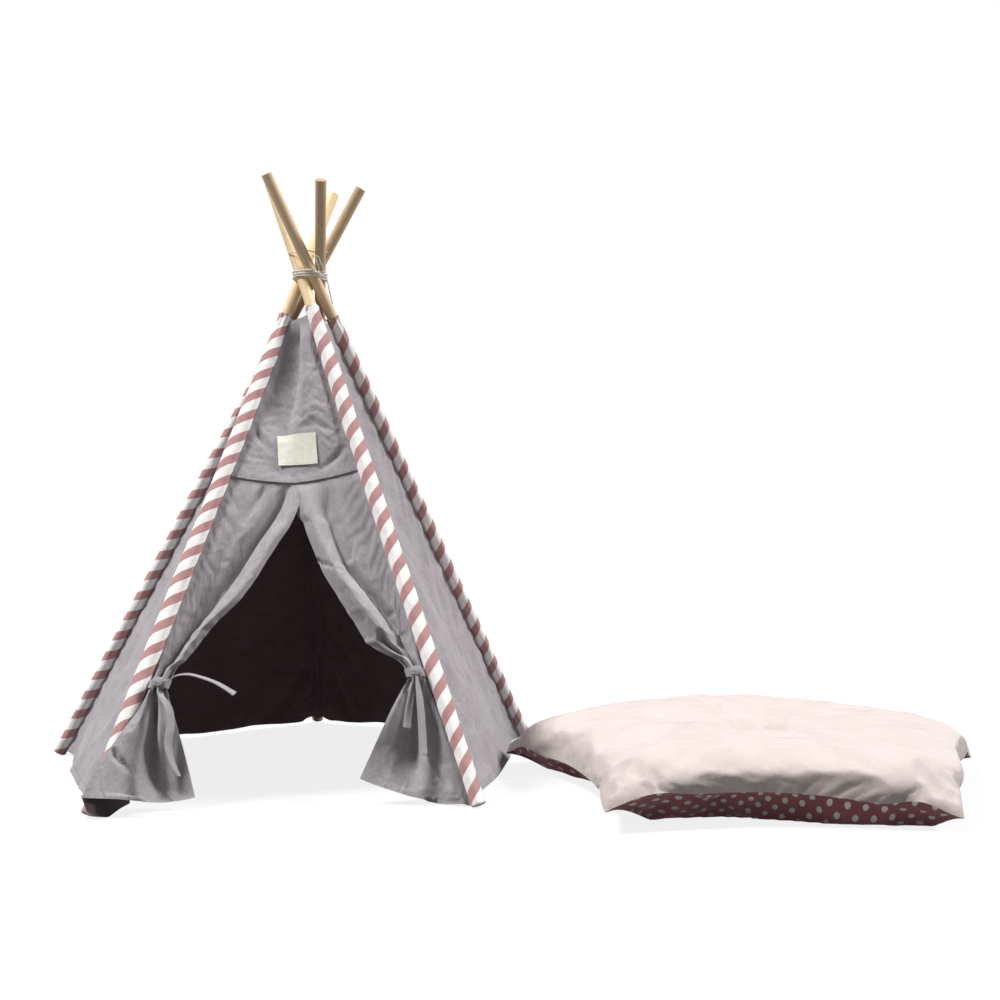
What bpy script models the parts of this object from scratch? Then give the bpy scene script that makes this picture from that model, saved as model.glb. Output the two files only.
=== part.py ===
"""Cat teepee bed: five lashed poles in striped sleeves, a canopy with tied-back curtains, a loose cushion.

Metres, +Z up. The bed stands on the floor z = 0 and the tent opens towards -Y.
The tent is made round the Z axis, and the whole bed is then moved so that its origin is the middle
of its footprint. Each pole swings on its crossing point, so that the tent folds into a bundle.
"""

import math

import bmesh
import bpy
from mathutils import Matrix, Vector

# poles
POLE_DIAMETER = 0.013
POLE_LENGTH = 0.800
POLE_EDGE = 0.0008
POLE_GAP = 0.00055
LASH_HEIGHT = 0.593
HOLE_DIAMETER = 0.0026
HOLE_ABOVE_LASH = 0.031
# name: azimuth of the foot, its distance from the tent's axis, azimuth of the sector, bare length under the lashing
POLES = {
    "front_left": (228.0, 0.325, 234.0, 0.058),
    "front_right": (306.0, 0.305, 306.0, 0.046),
    "right": (27.0, 0.320, 18.0, 0.056),
    "back": (89.0, 0.341, 90.0, 0.056),
    "left": (160.0, 0.335, 162.0, 0.056),
}
# where the tent's axis stands in the finished bed
TENT_X = -0.2310
TENT_Y = 0.0345

# pole sleeves: cloth tubes sewn shut under the pole's end
SLEEVE_CLEARANCE = 0.0003
SLEEVE_WALL = 0.0012
SLEEVE_FULLNESS = 0.0024
SLEEVE_FLARE = 0.060
SLEEVE_TAPER = 0.150
SLEEVE_SIDES = 20
SLEEVE_RADIUS = POLE_DIAMETER / 2 + SLEEVE_CLEARANCE + SLEEVE_WALL
# radius and distance past the pole's end of the sleeve's rounded bottom
SLEEVE_END = [(SLEEVE_RADIUS, 0.0), (SLEEVE_RADIUS * 0.93, SLEEVE_WALL * 0.9),
              (SLEEVE_RADIUS * 0.72, SLEEVE_WALL * 1.5)]
FOOT_FLAT = 0.0005

# cloth
CLOTH = 0.0010
SEAM_GAP = 0.0006
TOP_GAP = 0.006
HEM_HEIGHT = 0.010
HEM_FLARE = 0.009
FOLD_DEPTH = 0.003
FOLDS = 3
BIAS_FOLD = 0.004

# front: upper panel, label and the two curtains
FRONT_SEAM_LEFT = 0.3475
FRONT_SEAM_RIGHT = 0.3590
FRONT_SEAM_SAG = 0.0115
TIE_HEIGHT_LEFT = 0.1290
TIE_HEIGHT_RIGHT = 0.1370
BUNDLE_WIDTH = 0.020
BUNDLE_DEPTH = 0.013
BUNDLE_FOLDS = 2
# height and share of the front's width at which each curtain's free edge lies
EDGE_LEFT = [(0.345, 0.492), (0.311, 0.492), (0.266, 0.372), (0.226, 0.263), (0.192, 0.168), (0.156, 0.094)]
EDGE_RIGHT = [(0.345, 0.492), (0.311, 0.492), (0.255, 0.372), (0.225, 0.300), (0.190, 0.220), (0.160, 0.138)]
# sideways place, height and stand-off of each curtain's hem at its outer and inner end
SKIRT_LEFT = ((-0.2235, 0.0190, 0.0135), (-0.1145, 0.0235, 0.0040))
SKIRT_RIGHT = ((0.1665, 0.0060, 0.0035), (0.0560, 0.0375, 0.0010))
SKIRT_FOLD = 0.0045
SKIRT_FOLDS = 3

LABEL_WIDTH = 0.044
LABEL_HEIGHT = 0.037
LABEL_THICKNESS = 0.0008
LABEL_X = -0.0122
LABEL_Z = 0.3800
LABEL_TILT = -2.5

# ties
RIBBON_WIDTH = 0.0085
RIBBON = 0.0008
TIE_CLEARANCE = 0.0003
KNOT_SIZE = (0.013, 0.011, 0.007)
# points that each hanging end follows from its knot: sideways, up the front, stand-off
TAILS = {
    "tie_left_tail_side": [(0.0069, 0.0010, 0.0), (0.0105, 0.0010, 0.0), (0.0185, 0.0050, 0.0036),
                           (0.0318, 0.0060, 0.0046), (0.0454, 0.0026, 0.0040), (0.0569, -0.0018, 0.0033),
                           (0.0685, -0.0085, 0.0027), (0.0801, -0.0162, 0.0020)],
    "tie_left_tail_hanging": [(0.0012, -0.0059, 0.0), (0.0012, -0.0090, 0.0), (0.0062, -0.0184, 0.0044),
                              (0.0135, -0.0312, 0.0040), (0.0158, -0.0491, 0.0035), (0.0147, -0.0689, 0.0035),
                              (0.0195, -0.0866, 0.0040), (0.0271, -0.1011, 0.0045)],
    "tie_right_tail_front": [(0.0010, -0.0059, 0.0013), (0.0010, -0.0095, 0.0013), (0.0023, -0.0248, 0.0020),
                             (0.0040, -0.0465, 0.0018), (0.0048, -0.0679, 0.0018), (0.0053, -0.0913, 0.0022)],
    "tie_right_tail_back": [(-0.0020, -0.0059, -0.0013), (-0.0020, -0.0095, -0.0013),
                            (-0.0062, -0.0293, -0.0010), (-0.0092, -0.0457, -0.0008),
                            (-0.0112, -0.0620, -0.0004)],
}

# lashing
CORD_DIAMETER = 0.0022
CORD_CLEARANCE = 0.0009
LASH_TURNS = 3
LASH_PITCH = 0.0030
LASH_POINTS = 24
KNOT_AZIMUTH = 305.0
THREAD_DIAMETER = 0.0016
KNOT_RADIUS = 0.0040
KNOT_CORD = 0.0016
KNOT_RISE = 0.0019
# distance between neighbouring crossings for each metre that they stand off the axis, less the poles' lean
SPREAD = 2 * math.sin(math.radians(36)) * 0.9005
LASH_OFFSET = (POLE_DIAMETER + POLE_GAP) / SPREAD
# points that the lashing's free end and bow follow from the knot: along the bundle, outwards, up
LASH_TAIL = [(0.0051, -0.0011, -0.0008), (0.0064, 0.0002, -0.0030), (0.0076, 0.0013, -0.0062),
             (0.0088, 0.0019, -0.0108), (0.0100, 0.0024, -0.0165), (0.0114, 0.0028, -0.0228),
             (0.0130, 0.0030, -0.0290), (0.0146, 0.0032, -0.0350)]
LASH_BOW = [(-0.0022, -0.0009, 0.0052), (-0.0034, -0.0002, 0.0074), (-0.0052, 0.0006, 0.0102),
            (-0.0072, 0.0012, 0.0140), (-0.0086, 0.0016, 0.0180), (-0.0072, 0.0020, 0.0204),
            (-0.0048, 0.0020, 0.0188), (-0.0024, 0.0018, 0.0144), (0.0006, 0.0016, 0.0100),
            (0.0018, 0.0013, 0.0074), (0.0022, 0.0011, 0.0053)]

# cushion
CUSHION_X = 0.5040
CUSHION_Y = -0.1640
CUSHION_TURN = -9.4
CUSHION_RADIUS = 0.2830
CUSHION_SEAM = 0.0240
CUSHION_CROWN = 0.0560
CUSHION_BELLY = 0.0260
CUSHION_DRAWN = 0.075
CUSHION_TUFT_DEPTH = 0.024
CUSHION_TUFT_RADIUS = 0.030
CUSHION_PLEATS = 7
CUSHION_PLEAT = 0.10
CUSHION_PLEAT_REACH = 0.090
CUSHION_COVER = 0.0010
CUSHION_GAP = 0.0004
CUSHION_FLAT = 0.0005
TOP_SHARES = (0.0, 0.05, 0.11, 0.19, 0.30, 0.44, 0.60, 0.76, 0.90, 1.0)
BOTTOM_SHARES = (0.0, 0.25, 0.45, 0.62, 0.76, 0.87, 0.95, 1.0)
FILLING_SHARES = (0.0, 0.05, 0.11, 0.20, 0.32, 0.52, 0.76, 1.0)
FILLING_ROOM = 0.0014
FILLING_INSET = 0.016

COLLECTION = "cat_teepee_bed"
CUTTERS = "cutters"


def clear_scene():
    for ob in list(bpy.data.objects):
        bpy.data.objects.remove(ob, do_unlink=True)


def smooth(x):
    x = min(1.0, max(0.0, x))
    return x * x * (3 - 2 * x)


def lerp(a, b, t):
    return a + (b - a) * t


def around(azimuth, distance=1.0, z=0.0):
    a = math.radians(azimuth)
    return Vector((distance * math.cos(a), distance * math.sin(a), z))


def curve_value(points, x):
    """Value at x on the straight lines through (x, value) points, x falling along the list."""
    if x >= points[0][0]:
        return points[0][1]
    for (x0, v0), (x1, v1) in zip(points, points[1:]):
        if x >= x1:
            return lerp(v0, v1, (x0 - x) / (x0 - x1))
    return points[-1][1]


def material(name, colour, roughness=0.9):
    mat = bpy.data.materials.new(name)
    mat.use_nodes = True
    shader = mat.node_tree.nodes["Principled BSDF"]
    shader.inputs["Base Color"].default_value = (*colour, 1)
    shader.inputs["Roughness"].default_value = roughness
    mat.diffuse_color = (*colour, 1)
    return mat


def add_object(name, data, colour, parent=None, collection=None):
    """Links a named object whose mesh or curve is given in world coordinates and parents it in place."""
    ob = bpy.data.objects.new(name, data)
    (collection or bpy.data.collections[COLLECTION]).objects.link(ob)
    data.materials.append(material(name, colour))
    if parent:
        data.transform(parent.matrix_world.inverted())
        ob.parent = parent
    return ob


def mesh_from(bm, name):
    bmesh.ops.recalc_face_normals(bm, faces=bm.faces)
    mesh = bpy.data.meshes.new(name)
    bm.to_mesh(mesh)
    bm.free()
    return mesh


def sheet_mesh(name, grid, thickness):
    """A closed solid of even thickness on a grid of points of its middle surface."""
    rows, cols = len(grid), len(grid[0])
    bm = bmesh.new()
    sides = []
    for sign in (1, -1):
        layer = []
        for r in range(rows):
            line = []
            for c in range(cols):
                down = grid[min(r + 1, rows - 1)][c] - grid[max(r - 1, 0)][c]
                across = grid[r][min(c + 1, cols - 1)] - grid[r][max(c - 1, 0)]
                normal = down.cross(across).normalized()
                line.append(bm.verts.new(grid[r][c] + normal * sign * thickness / 2))
            layer.append(line)
        sides.append(layer)
    for r in range(rows - 1):
        for c in range(cols - 1):
            for layer in sides:
                bm.faces.new((layer[r][c], layer[r][c + 1], layer[r + 1][c + 1], layer[r + 1][c]))
    rim = [(0, c) for c in range(cols)] + [(r, cols - 1) for r in range(1, rows)]
    rim += [(rows - 1, c) for c in range(cols - 2, -1, -1)] + [(r, 0) for r in range(rows - 2, 0, -1)]
    for (r0, c0), (r1, c1) in zip(rim, rim[1:] + rim[:1]):
        a, b = sides
        bm.faces.new((a[r0][c0], a[r1][c1], b[r1][c1], b[r0][c0]))
    return mesh_from(bm, name)


def loft_mesh(name, rings, closed_path=False):
    """A closed solid over rings of points; open paths get a cap at each end."""
    bm = bmesh.new()
    verts = [[bm.verts.new(p) for p in ring] for ring in rings]
    pairs = list(zip(verts, verts[1:] + ([verts[0]] if closed_path else [])))
    for lower, upper in pairs:
        n = len(lower)
        for k in range(n):
            bm.faces.new((lower[k], lower[(k + 1) % n], upper[(k + 1) % n], upper[k]))
    if not closed_path:
        bm.faces.new(verts[0])
        bm.faces.new(verts[-1])
    return mesh_from(bm, name)


def tube_curve(name, points, diameter, cyclic=False, resolution=1):
    curve = bpy.data.curves.new(name, "CURVE")
    curve.dimensions = "3D"
    curve.bevel_depth = diameter / 2
    curve.bevel_resolution = resolution
    curve.use_fill_caps = True
    spline = curve.splines.new("POLY")
    spline.points.add(len(points) - 1)
    for p, q in zip(spline.points, points):
        p.co = (*q, 1)
    spline.use_cyclic_u = cyclic
    return curve


class Pole:
    """A pole's line in the standing tent: waist is where it crosses the lashing, foot its lower end."""

    def __init__(self, name):
        azimuth, distance, sector, bare = POLES[name]
        self.name = name
        self.azimuth = azimuth
        self.bare = bare
        self.waist = around(sector - 90, LASH_OFFSET, LASH_HEIGHT)
        self.swing_axis = around(azimuth + 90)
        foot = around(azimuth, distance)
        for _ in range(4):
            self.down = (foot - self.waist).normalized()
            splay = math.acos(-self.down.z)
            lowest = max(r * math.sin(splay) + o * math.cos(splay) for r, o in SLEEVE_END)
            foot.z = lowest - FOOT_FLAT
        self.foot = foot
        self.reach = (foot - self.waist).length
        self.side = (self.swing_axis - self.down * self.swing_axis.dot(self.down)).normalized()
        self.out = self.side.cross(self.down).normalized()
        if self.out.dot(around(azimuth)) < 0:
            self.out = -self.out
        self.depth_at = lambda z: (self.waist.z - z) / -self.down.z

    def at(self, d):
        return self.waist + self.down * d

    def at_height(self, z):
        return self.at(self.depth_at(z))

    def sleeve_half(self, d):
        """Half width of the sleeve along the side and out directions."""
        full = smooth((d - self.bare) / SLEEVE_FLARE)
        taper = smooth((d - self.reach + SLEEVE_TAPER) / (SLEEVE_TAPER * 0.8))
        return (SLEEVE_RADIUS + SLEEVE_FULLNESS * full * (1 - 0.7 * taper),
                SLEEVE_RADIUS + 0.0004 * full * (1 - taper))

    def edge(self, other, z):
        """Where cloth running towards the other pole meets this sleeve, at height z."""
        d = self.depth_at(z)
        here = self.at(d)
        towards = other.at_height(z) - here
        towards = (towards - self.down * towards.dot(self.down)).normalized()
        a, b = self.sleeve_half(d)
        radius = a * b / math.hypot(b * towards.dot(self.side), a * towards.dot(self.out))
        return here + towards * (radius + SEAM_GAP)


def make_pole(pole, parent):
    bm = bmesh.new()
    bmesh.ops.create_cone(bm, cap_ends=True, segments=24, radius1=POLE_DIAMETER / 2,
                          radius2=POLE_DIAMETER / 2, depth=POLE_LENGTH)
    rims = [e for e in bm.edges if abs(e.verts[0].co.z - e.verts[1].co.z) < 1e-6]
    bmesh.ops.bevel(bm, geom=rims, offset=POLE_EDGE, segments=1, profile=0.5, affect="EDGES")
    turn = Matrix((pole.out, pole.side, -pole.down)).transposed().to_4x4()
    middle = pole.foot - pole.down * POLE_LENGTH / 2
    bmesh.ops.transform(bm, matrix=Matrix.Translation(middle) @ turn, verts=bm.verts)
    ob = add_object("pole_" + pole.name, mesh_from(bm, "pole_" + pole.name), (0.72, 0.52, 0.31), parent)
    start, end = thread_hole(pole)
    cutter = bmesh.new()
    axis = (end - start).normalized()
    bmesh.ops.create_cone(cutter, cap_ends=True, segments=10, radius1=HOLE_DIAMETER / 2,
                          radius2=HOLE_DIAMETER / 2, depth=POLE_DIAMETER * 2)
    place = Matrix.Translation((start + end) / 2) @ axis.to_track_quat("Z", "Y").to_matrix().to_4x4()
    bmesh.ops.transform(cutter, matrix=place, verts=cutter.verts)
    tool = add_object("cutter_" + pole.name, mesh_from(cutter, "cutter_" + pole.name), (0.5, 0.5, 0.5),
                      parent, bpy.data.collections[CUTTERS])
    tool.hide_render = True
    tool.display_type = "WIRE"
    cut = ob.modifiers.new("Thread hole", "BOOLEAN")
    cut.operation = "DIFFERENCE"
    cut.solver = "EXACT"
    cut.object = tool
    return ob


def thread_hole(pole):
    """The two mouths of the hole drilled through the pole above the lashing, along the ring of poles."""
    centre = pole.at(-HOLE_ABOVE_LASH)
    reach = pole.side * (POLE_DIAMETER / 2)
    return centre - reach, centre + reach


def make_sleeve(pole, parent):
    name = "sleeve_" + pole.name
    frame = (pole.side, pole.out)
    top, end = pole.bare, pole.reach
    depths = [top, top + 0.25 * SLEEVE_FLARE, top + 0.5 * SLEEVE_FLARE, top + SLEEVE_FLARE]
    first = depths[-1]
    depths += [lerp(first, end, k / 6) for k in range(1, 6)]
    depths += [end - SLEEVE_TAPER * 0.2]
    depths = sorted(set(round(d, 6) for d in depths))

    def ring(d, a, b):
        centre = pole.at(d)
        points = []
        for k in range(SLEEVE_SIDES):
            t = 2 * math.pi * k / SLEEVE_SIDES
            points.append(centre + frame[0] * a * math.cos(t) + frame[1] * b * math.sin(t))
        return points

    bore = POLE_DIAMETER / 2 + SLEEVE_CLEARANCE
    rings = [ring(end + SLEEVE_CLEARANCE, bore, bore), ring(top, bore, bore)]
    rings += [ring(d, *pole.sleeve_half(d)) for d in depths]
    a, b = pole.sleeve_half(end)
    for r, past in SLEEVE_END:
        share = r / SLEEVE_RADIUS
        rings.append(ring(end + SLEEVE_CLEARANCE + past, a * share, b * share))
    mesh = loft_mesh(name, rings)
    bm = bmesh.new()
    bm.from_mesh(mesh)
    cut = bmesh.ops.bisect_plane(bm, geom=bm.verts[:] + bm.edges[:] + bm.faces[:], plane_co=(0, 0, 0),
                                 plane_no=(0, 0, -1), clear_outer=True)
    rim = [e for e in cut["geom_cut"] if isinstance(e, bmesh.types.BMEdge)]
    if rim:
        bmesh.ops.contextual_create(bm, geom=rim)
    return add_object(name, mesh_from(bm, name), (0.80, 0.62, 0.60), parent)


def sheet_grid(a, b, top, bottom, rows, cols, offset):
    """Points between two poles' sleeves; top and bottom give heights and offset the stand-off, by share across."""
    grid = []
    for r in range(rows + 1):
        v = (r / rows) ** 1.4
        line = []
        for c in range(cols + 1):
            s = c / cols
            z = lerp(top(s), bottom(s), v)
            left, right = a.edge(b, z), b.edge(a, z)
            across = right - left
            out = across.cross(b.down + a.down).normalized()
            if out.dot(left + right) < 0:
                out = -out
            line.append(left + across * s + out * offset(s, v))
        grid.append(line)
    return grid


def panel_offset(phase, bias):
    """Cloth stands out at the hem, with soft folds that grow downwards and one slanting fold."""
    def offset(s, v):
        free = math.sin(math.pi * s)
        hem = HEM_FLARE * v ** 4 * free
        folds = FOLD_DEPTH * v ** 1.5 * free * math.sin(2 * math.pi * FOLDS * s + phase)
        slant = BIAS_FOLD * free * math.exp(-((s - bias - 0.5 * (1 - v)) / 0.16) ** 2) * v * (1 - v ** 3)
        return hem + folds - 1.6 * slant
    return offset


def make_panel(name, first, second, phase, bias, parent):
    top = min(LASH_HEIGHT + first.bare * first.down.z, LASH_HEIGHT + second.bare * second.down.z) - TOP_GAP
    grid = sheet_grid(first, second, lambda s: top, lambda s: HEM_HEIGHT, 9, 12, panel_offset(phase, bias))
    return add_object(name, sheet_mesh(name, grid, CLOTH), (0.30, 0.28, 0.30), parent)


def front_point(left, right, x, z, off):
    """A point of the front's plane at sideways place x and height z, standing off towards the viewer."""
    a, b = left.edge(right, z), right.edge(left, z)
    across = b - a
    out = across.cross(left.down + right.down).normalized()
    if out.y > 0:
        out = -out
    return a + across * ((x - a.x) / across.x) + out * off


def seam_height(s):
    return lerp(FRONT_SEAM_LEFT, FRONT_SEAM_RIGHT, s) - 4 * FRONT_SEAM_SAG * s * (1 - s)


def make_front_upper(left, right, parent):
    name = "panel_front_upper"
    top = min(LASH_HEIGHT + left.bare * left.down.z, LASH_HEIGHT + right.bare * right.down.z) - TOP_GAP
    grid = sheet_grid(left, right, lambda s: top, seam_height, 8, 10, lambda s, v: 0.0)
    return add_object(name, sheet_mesh(name, grid, CLOTH), (0.30, 0.28, 0.30), parent)


def make_label(left, right, parent):
    name = "label_patch"
    turn = math.radians(LABEL_TILT)
    off = CLOTH / 2 + TIE_CLEARANCE + LABEL_THICKNESS / 2
    grid = []
    for r in range(3):
        line = []
        for c in range(4):
            x, z = LABEL_WIDTH * (c / 3 - 0.5), LABEL_HEIGHT * (0.5 - r / 2)
            line.append(front_point(left, right, LABEL_X + x * math.cos(turn) - z * math.sin(turn),
                                    LABEL_Z + (x * math.sin(turn) + z * math.cos(turn)) * 0.92, off))
        grid.append(line)
    return add_object(name, sheet_mesh(name, grid, LABEL_THICKNESS), (0.88, 0.85, 0.72), parent)


class Bundle:
    """The gathered part of a curtain in its tie; sign is +1 where the curtain's free edge lies towards +X."""

    def __init__(self, pole, other, tie_height, sign):
        self.pole, self.other, self.sign, self.tie = pole, other, sign, tie_height
        self.room = SEAM_GAP - TIE_CLEARANCE
        self.outer = RIBBON + TIE_CLEARANCE - self.room + CLOTH / 2 + TIE_CLEARANCE

    def start(self, z):
        """Sideways place where the curtain's outer edge runs beside the sleeve."""
        near = smooth(1 - (abs(z - self.tie) - RIBBON_WIDTH * 0.6) / 0.060)
        return self.pole.edge(self.other, z).x + self.sign * near * self.outer

    def middle(self, z):
        return self.start(z) + self.sign * (BUNDLE_WIDTH - CLOTH) / 2


def round_share(u):
    """Share of the bundle's depth that its rounded outline leaves at share u of its width."""
    return (1 - abs(2 * u - 1) ** 2.5) ** 0.4


def make_curtain(name, bundle, edge, skirt, parent):
    left, right = (bundle.pole, bundle.other) if bundle.sign > 0 else (bundle.other, bundle.pole)
    cols, half = 20, RIBBON_WIDTH * 0.6
    heights = [None] + [lerp(0.335, bundle.tie + 0.022, k / 6) for k in range(1, 7)]
    heights += [bundle.tie + half, bundle.tie, bundle.tie - half]
    drops = [0.12, 0.26, 0.42, 0.58, 0.74, 0.88, 1.0]
    amplitude = (BUNDLE_DEPTH - CLOTH) / 2
    grid = []
    for z in heights:
        line = []
        for c in range(cols + 1):
            u = c / cols
            if z is None:
                share = u * edge[0][1] if bundle.sign > 0 else 1 - u * edge[0][1]
                height = seam_height(share) - CLOTH
                a, b = left.edge(right, height), right.edge(left, height)
                line.append(a + (b - a) * share)
                continue
            width = (bundle.other.edge(bundle.pole, z) - bundle.pole.edge(bundle.other, z)).length
            start = bundle.start(z)
            tied = smooth((bundle.tie + 0.060 - z) / 0.055)
            reach = lerp(curve_value(edge, z) * width, BUNDLE_WIDTH - CLOTH, tied)
            x = start + bundle.sign * reach * u
            fold = lerp(0.12, round_share(u), tied) * smooth((0.335 - z) / 0.05)
            off = amplitude * fold * math.sin(2 * math.pi * BUNDLE_FOLDS * u)
            line.append(front_point(left, right, x, z, off + 0.001))
        grid.append(line)
    low = bundle.tie - half
    for q in drops:
        line = []
        spread = q ** 0.9
        for c in range(cols + 1):
            u = c / cols
            z_hem = lerp(skirt[0][1], skirt[1][1], u) - 0.004 * math.sin(math.pi * u)
            z = lerp(low, z_hem, q)
            x_in = lerp(bundle.start(low) + bundle.sign * (BUNDLE_WIDTH - CLOTH), skirt[1][0], spread)
            side = bundle.start(z) + bundle.sign * 0.0004
            past = (skirt[0][0] - bundle.start(skirt[0][1])) * smooth((q - 0.5) / 0.5)
            x = lerp(side + past, x_in, u)
            lift = lerp(0.001, skirt[0][2], smooth(q / 0.55)) * (1 - smooth((u - 0.36) / 0.5))
            lift += skirt[1][2] * smooth((u - 0.3) / 0.5) * q
            deep = lerp(amplitude * round_share(u), SKIRT_FOLD * smooth(u * 6), smooth(q / 0.5))
            folds = lerp(BUNDLE_FOLDS, SKIRT_FOLDS, q)
            off = lift + deep * math.sin(2 * math.pi * folds * u) * lerp(1.0, 0.55, q)
            line.append(front_point(left, right, x, z, off + 0.001))
        grid.append(line)
    return add_object(name, sheet_mesh(name, grid, CLOTH), (0.30, 0.28, 0.30), parent)


def make_tie_band(name, bundle, parent):
    """The ribbon round the gathered curtain, a closed band that clears cloth and sleeve alike."""
    left, right = (bundle.pole, bundle.other) if bundle.sign > 0 else (bundle.other, bundle.pole)
    half_in = BUNDLE_WIDTH / 2 + TIE_CLEARANCE, BUNDLE_DEPTH / 2 + TIE_CLEARANCE + 0.0006
    rings = []
    for k in range(24):
        t = 2 * math.pi * k / 24
        ring = []
        for dz, grow in ((-0.5, 0), (0.5, 0), (0.5, 1), (-0.5, 1)):
            z = bundle.tie + dz * RIBBON_WIDTH
            a, b = half_in[0] + grow * RIBBON, half_in[1] + grow * RIBBON
            square = 0.8
            cx = math.copysign(abs(math.cos(t)) ** square, math.cos(t))
            sx = math.copysign(abs(math.sin(t)) ** square, math.sin(t))
            ring.append(front_point(left, right, bundle.middle(z) + a * cx, z, 0.001 + b * sx))
        rings.append(ring)
    return add_object(name, loft_mesh(name, rings, closed_path=True), (0.27, 0.25, 0.27), parent)


def knot_axes(bundle):
    """Middle of a tie's knot, with its directions sideways, up the front and outwards."""
    left, right = (bundle.pole, bundle.other) if bundle.sign > 0 else (bundle.other, bundle.pole)
    off = 0.001 + BUNDLE_DEPTH / 2 + 0.0006 + 2 * TIE_CLEARANCE + RIBBON + KNOT_SIZE[2] / 2
    centre = front_point(left, right, bundle.middle(bundle.tie), bundle.tie, off)
    out = (centre - front_point(left, right, bundle.middle(bundle.tie), bundle.tie, 0)).normalized()
    side = Vector((1, 0, 0)) - out * out.x
    side.normalize()
    return centre, side, out.cross(side), out


def make_tie_knot(name, bundle, parent):
    centre, side, up, out = knot_axes(bundle)
    bm = bmesh.new()
    bmesh.ops.create_cube(bm, size=1)
    bmesh.ops.scale(bm, vec=KNOT_SIZE, verts=bm.verts)
    bmesh.ops.bevel(bm, geom=bm.edges[:], offset=KNOT_SIZE[2] * 0.3, segments=2, profile=0.6, affect="EDGES")
    turn = Matrix((side, up, out)).transposed().to_4x4()
    bmesh.ops.transform(bm, matrix=Matrix.Translation(centre) @ turn, verts=bm.verts)
    return add_object(name, mesh_from(bm, name), (0.27, 0.25, 0.27), parent)


def make_tail(name, bundle, points, parent):
    """A ribbon's hanging end: a flat strip along its points, wide in the front's plane."""
    centre, side, up, out = knot_axes(bundle)
    fine = spaced([centre + side * a + up * b + out * c for a, b, c in points], 2)
    rings = []
    for k, p in enumerate(fine):
        along = (fine[min(k + 1, len(fine) - 1)] - fine[max(k - 1, 0)]).normalized()
        wide = along.cross(out).normalized() * RIBBON_WIDTH / 2
        thick = wide.cross(along).normalized() * RIBBON / 2
        rings.append([p - wide - thick, p + wide - thick, p + wide + thick, p - wide + thick])
    return add_object(name, loft_mesh(name, rings), (0.27, 0.25, 0.27), parent)


def bundle_radius(poles, azimuth, z):
    """Distance from the tent's axis to the taut line round the five poles at height z."""
    best = None
    for k in range(180):
        a = azimuth + (k - 90) * 0.9
        n = around(a)
        support = 0.0
        for pole in poles.values():
            centre = pole.at_height(z)
            lean = Vector((pole.down.x, pole.down.y, 0)).normalized()
            long = POLE_DIAMETER / 2 / -pole.down.z
            reach = math.hypot(long * n.dot(lean), POLE_DIAMETER / 2 * n.dot(lean.cross(Vector((0, 0, 1)))))
            support = max(support, centre.x * n.x + centre.y * n.y + reach)
        ray = math.cos(math.radians(a - azimuth))
        if ray > 0.05:
            value = support / ray
            best = value if best is None else min(best, value)
    return best


def make_lashing(poles, parent):
    """The winding as one unbroken tube, with its least gap to itself measured on its points."""
    points = []
    lift = LASH_TURNS * LASH_PITCH / 2
    steps = LASH_TURNS * LASH_POINTS - 2
    for k in range(steps + 1):
        turn = (k + 1) / LASH_POINTS
        azimuth = KNOT_AZIMUTH + 360 * turn
        z = LASH_HEIGHT - lift + LASH_PITCH * turn
        radius = bundle_radius(poles, azimuth, z) + CORD_DIAMETER / 2 + CORD_CLEARANCE
        points.append(around(azimuth, radius, z))
    gap = least_gap(points, CORD_DIAMETER)
    print("lashing winding: least gap to itself %.2f mm" % (gap * 1000))
    curve = tube_curve("lashing_winding", points, CORD_DIAMETER)
    return add_object("lashing_winding", curve, (0.85, 0.84, 0.81), parent), points


def least_gap(points, diameter, cyclic=False):
    """Least distance between far stretches of a tube's middle line, less the tube's diameter."""
    least = 1.0
    skip = 6
    for i in range(len(points) - 1):
        for j in range(i + skip, len(points) - 1):
            if cyclic and i + len(points) - j < skip:
                continue
            for t in (0.0, 0.5, 1.0):
                p = points[i].lerp(points[i + 1], t)
                a, b = points[j], points[j + 1]
                along = b - a
                s = min(1.0, max(0.0, (p - a).dot(along) / along.length_squared))
                least = min(least, (p - a - along * s).length - diameter)
    return least


def knot_frame(poles):
    """Middle of the lashing's knot, with its directions along the bundle and outwards."""
    radius = bundle_radius(poles, KNOT_AZIMUTH, LASH_HEIGHT) + CORD_CLEARANCE + CORD_DIAMETER
    radius += TIE_CLEARANCE + KNOT_RISE + KNOT_CORD / 2
    return around(KNOT_AZIMUTH, radius, LASH_HEIGHT), around(KNOT_AZIMUTH + 90), around(KNOT_AZIMUTH)


def make_lashing_knot(poles, parent):
    centre, along, out = knot_frame(poles)
    points = []
    for k in range(48):
        t = 2 * math.pi * k / 48
        x = (math.sin(t) + 2 * math.sin(2 * t)) * KNOT_RADIUS * 0.42
        z = (math.cos(t) - 2 * math.cos(2 * t)) * KNOT_RADIUS * 0.42
        y = -math.sin(3 * t) * KNOT_RISE
        points.append(centre + along * x + Vector((0, 0, z)) + out * y)
    print("lashing knot: least gap to itself %.2f mm" % (least_gap(points, KNOT_CORD, True) * 1000))
    curve = tube_curve("lashing_knot", points, KNOT_CORD, cyclic=True)
    add_object("lashing_knot", curve, (0.85, 0.84, 0.81), parent)
    for name, route in (("lashing_tail", LASH_TAIL), ("lashing_bow", LASH_BOW)):
        path = [centre + along * a + out * o + Vector((0, 0, z)) for a, o, z in route]
        add_object(name, tube_curve(name, spaced(path, 3), KNOT_CORD), (0.85, 0.84, 0.81), parent)


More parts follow.
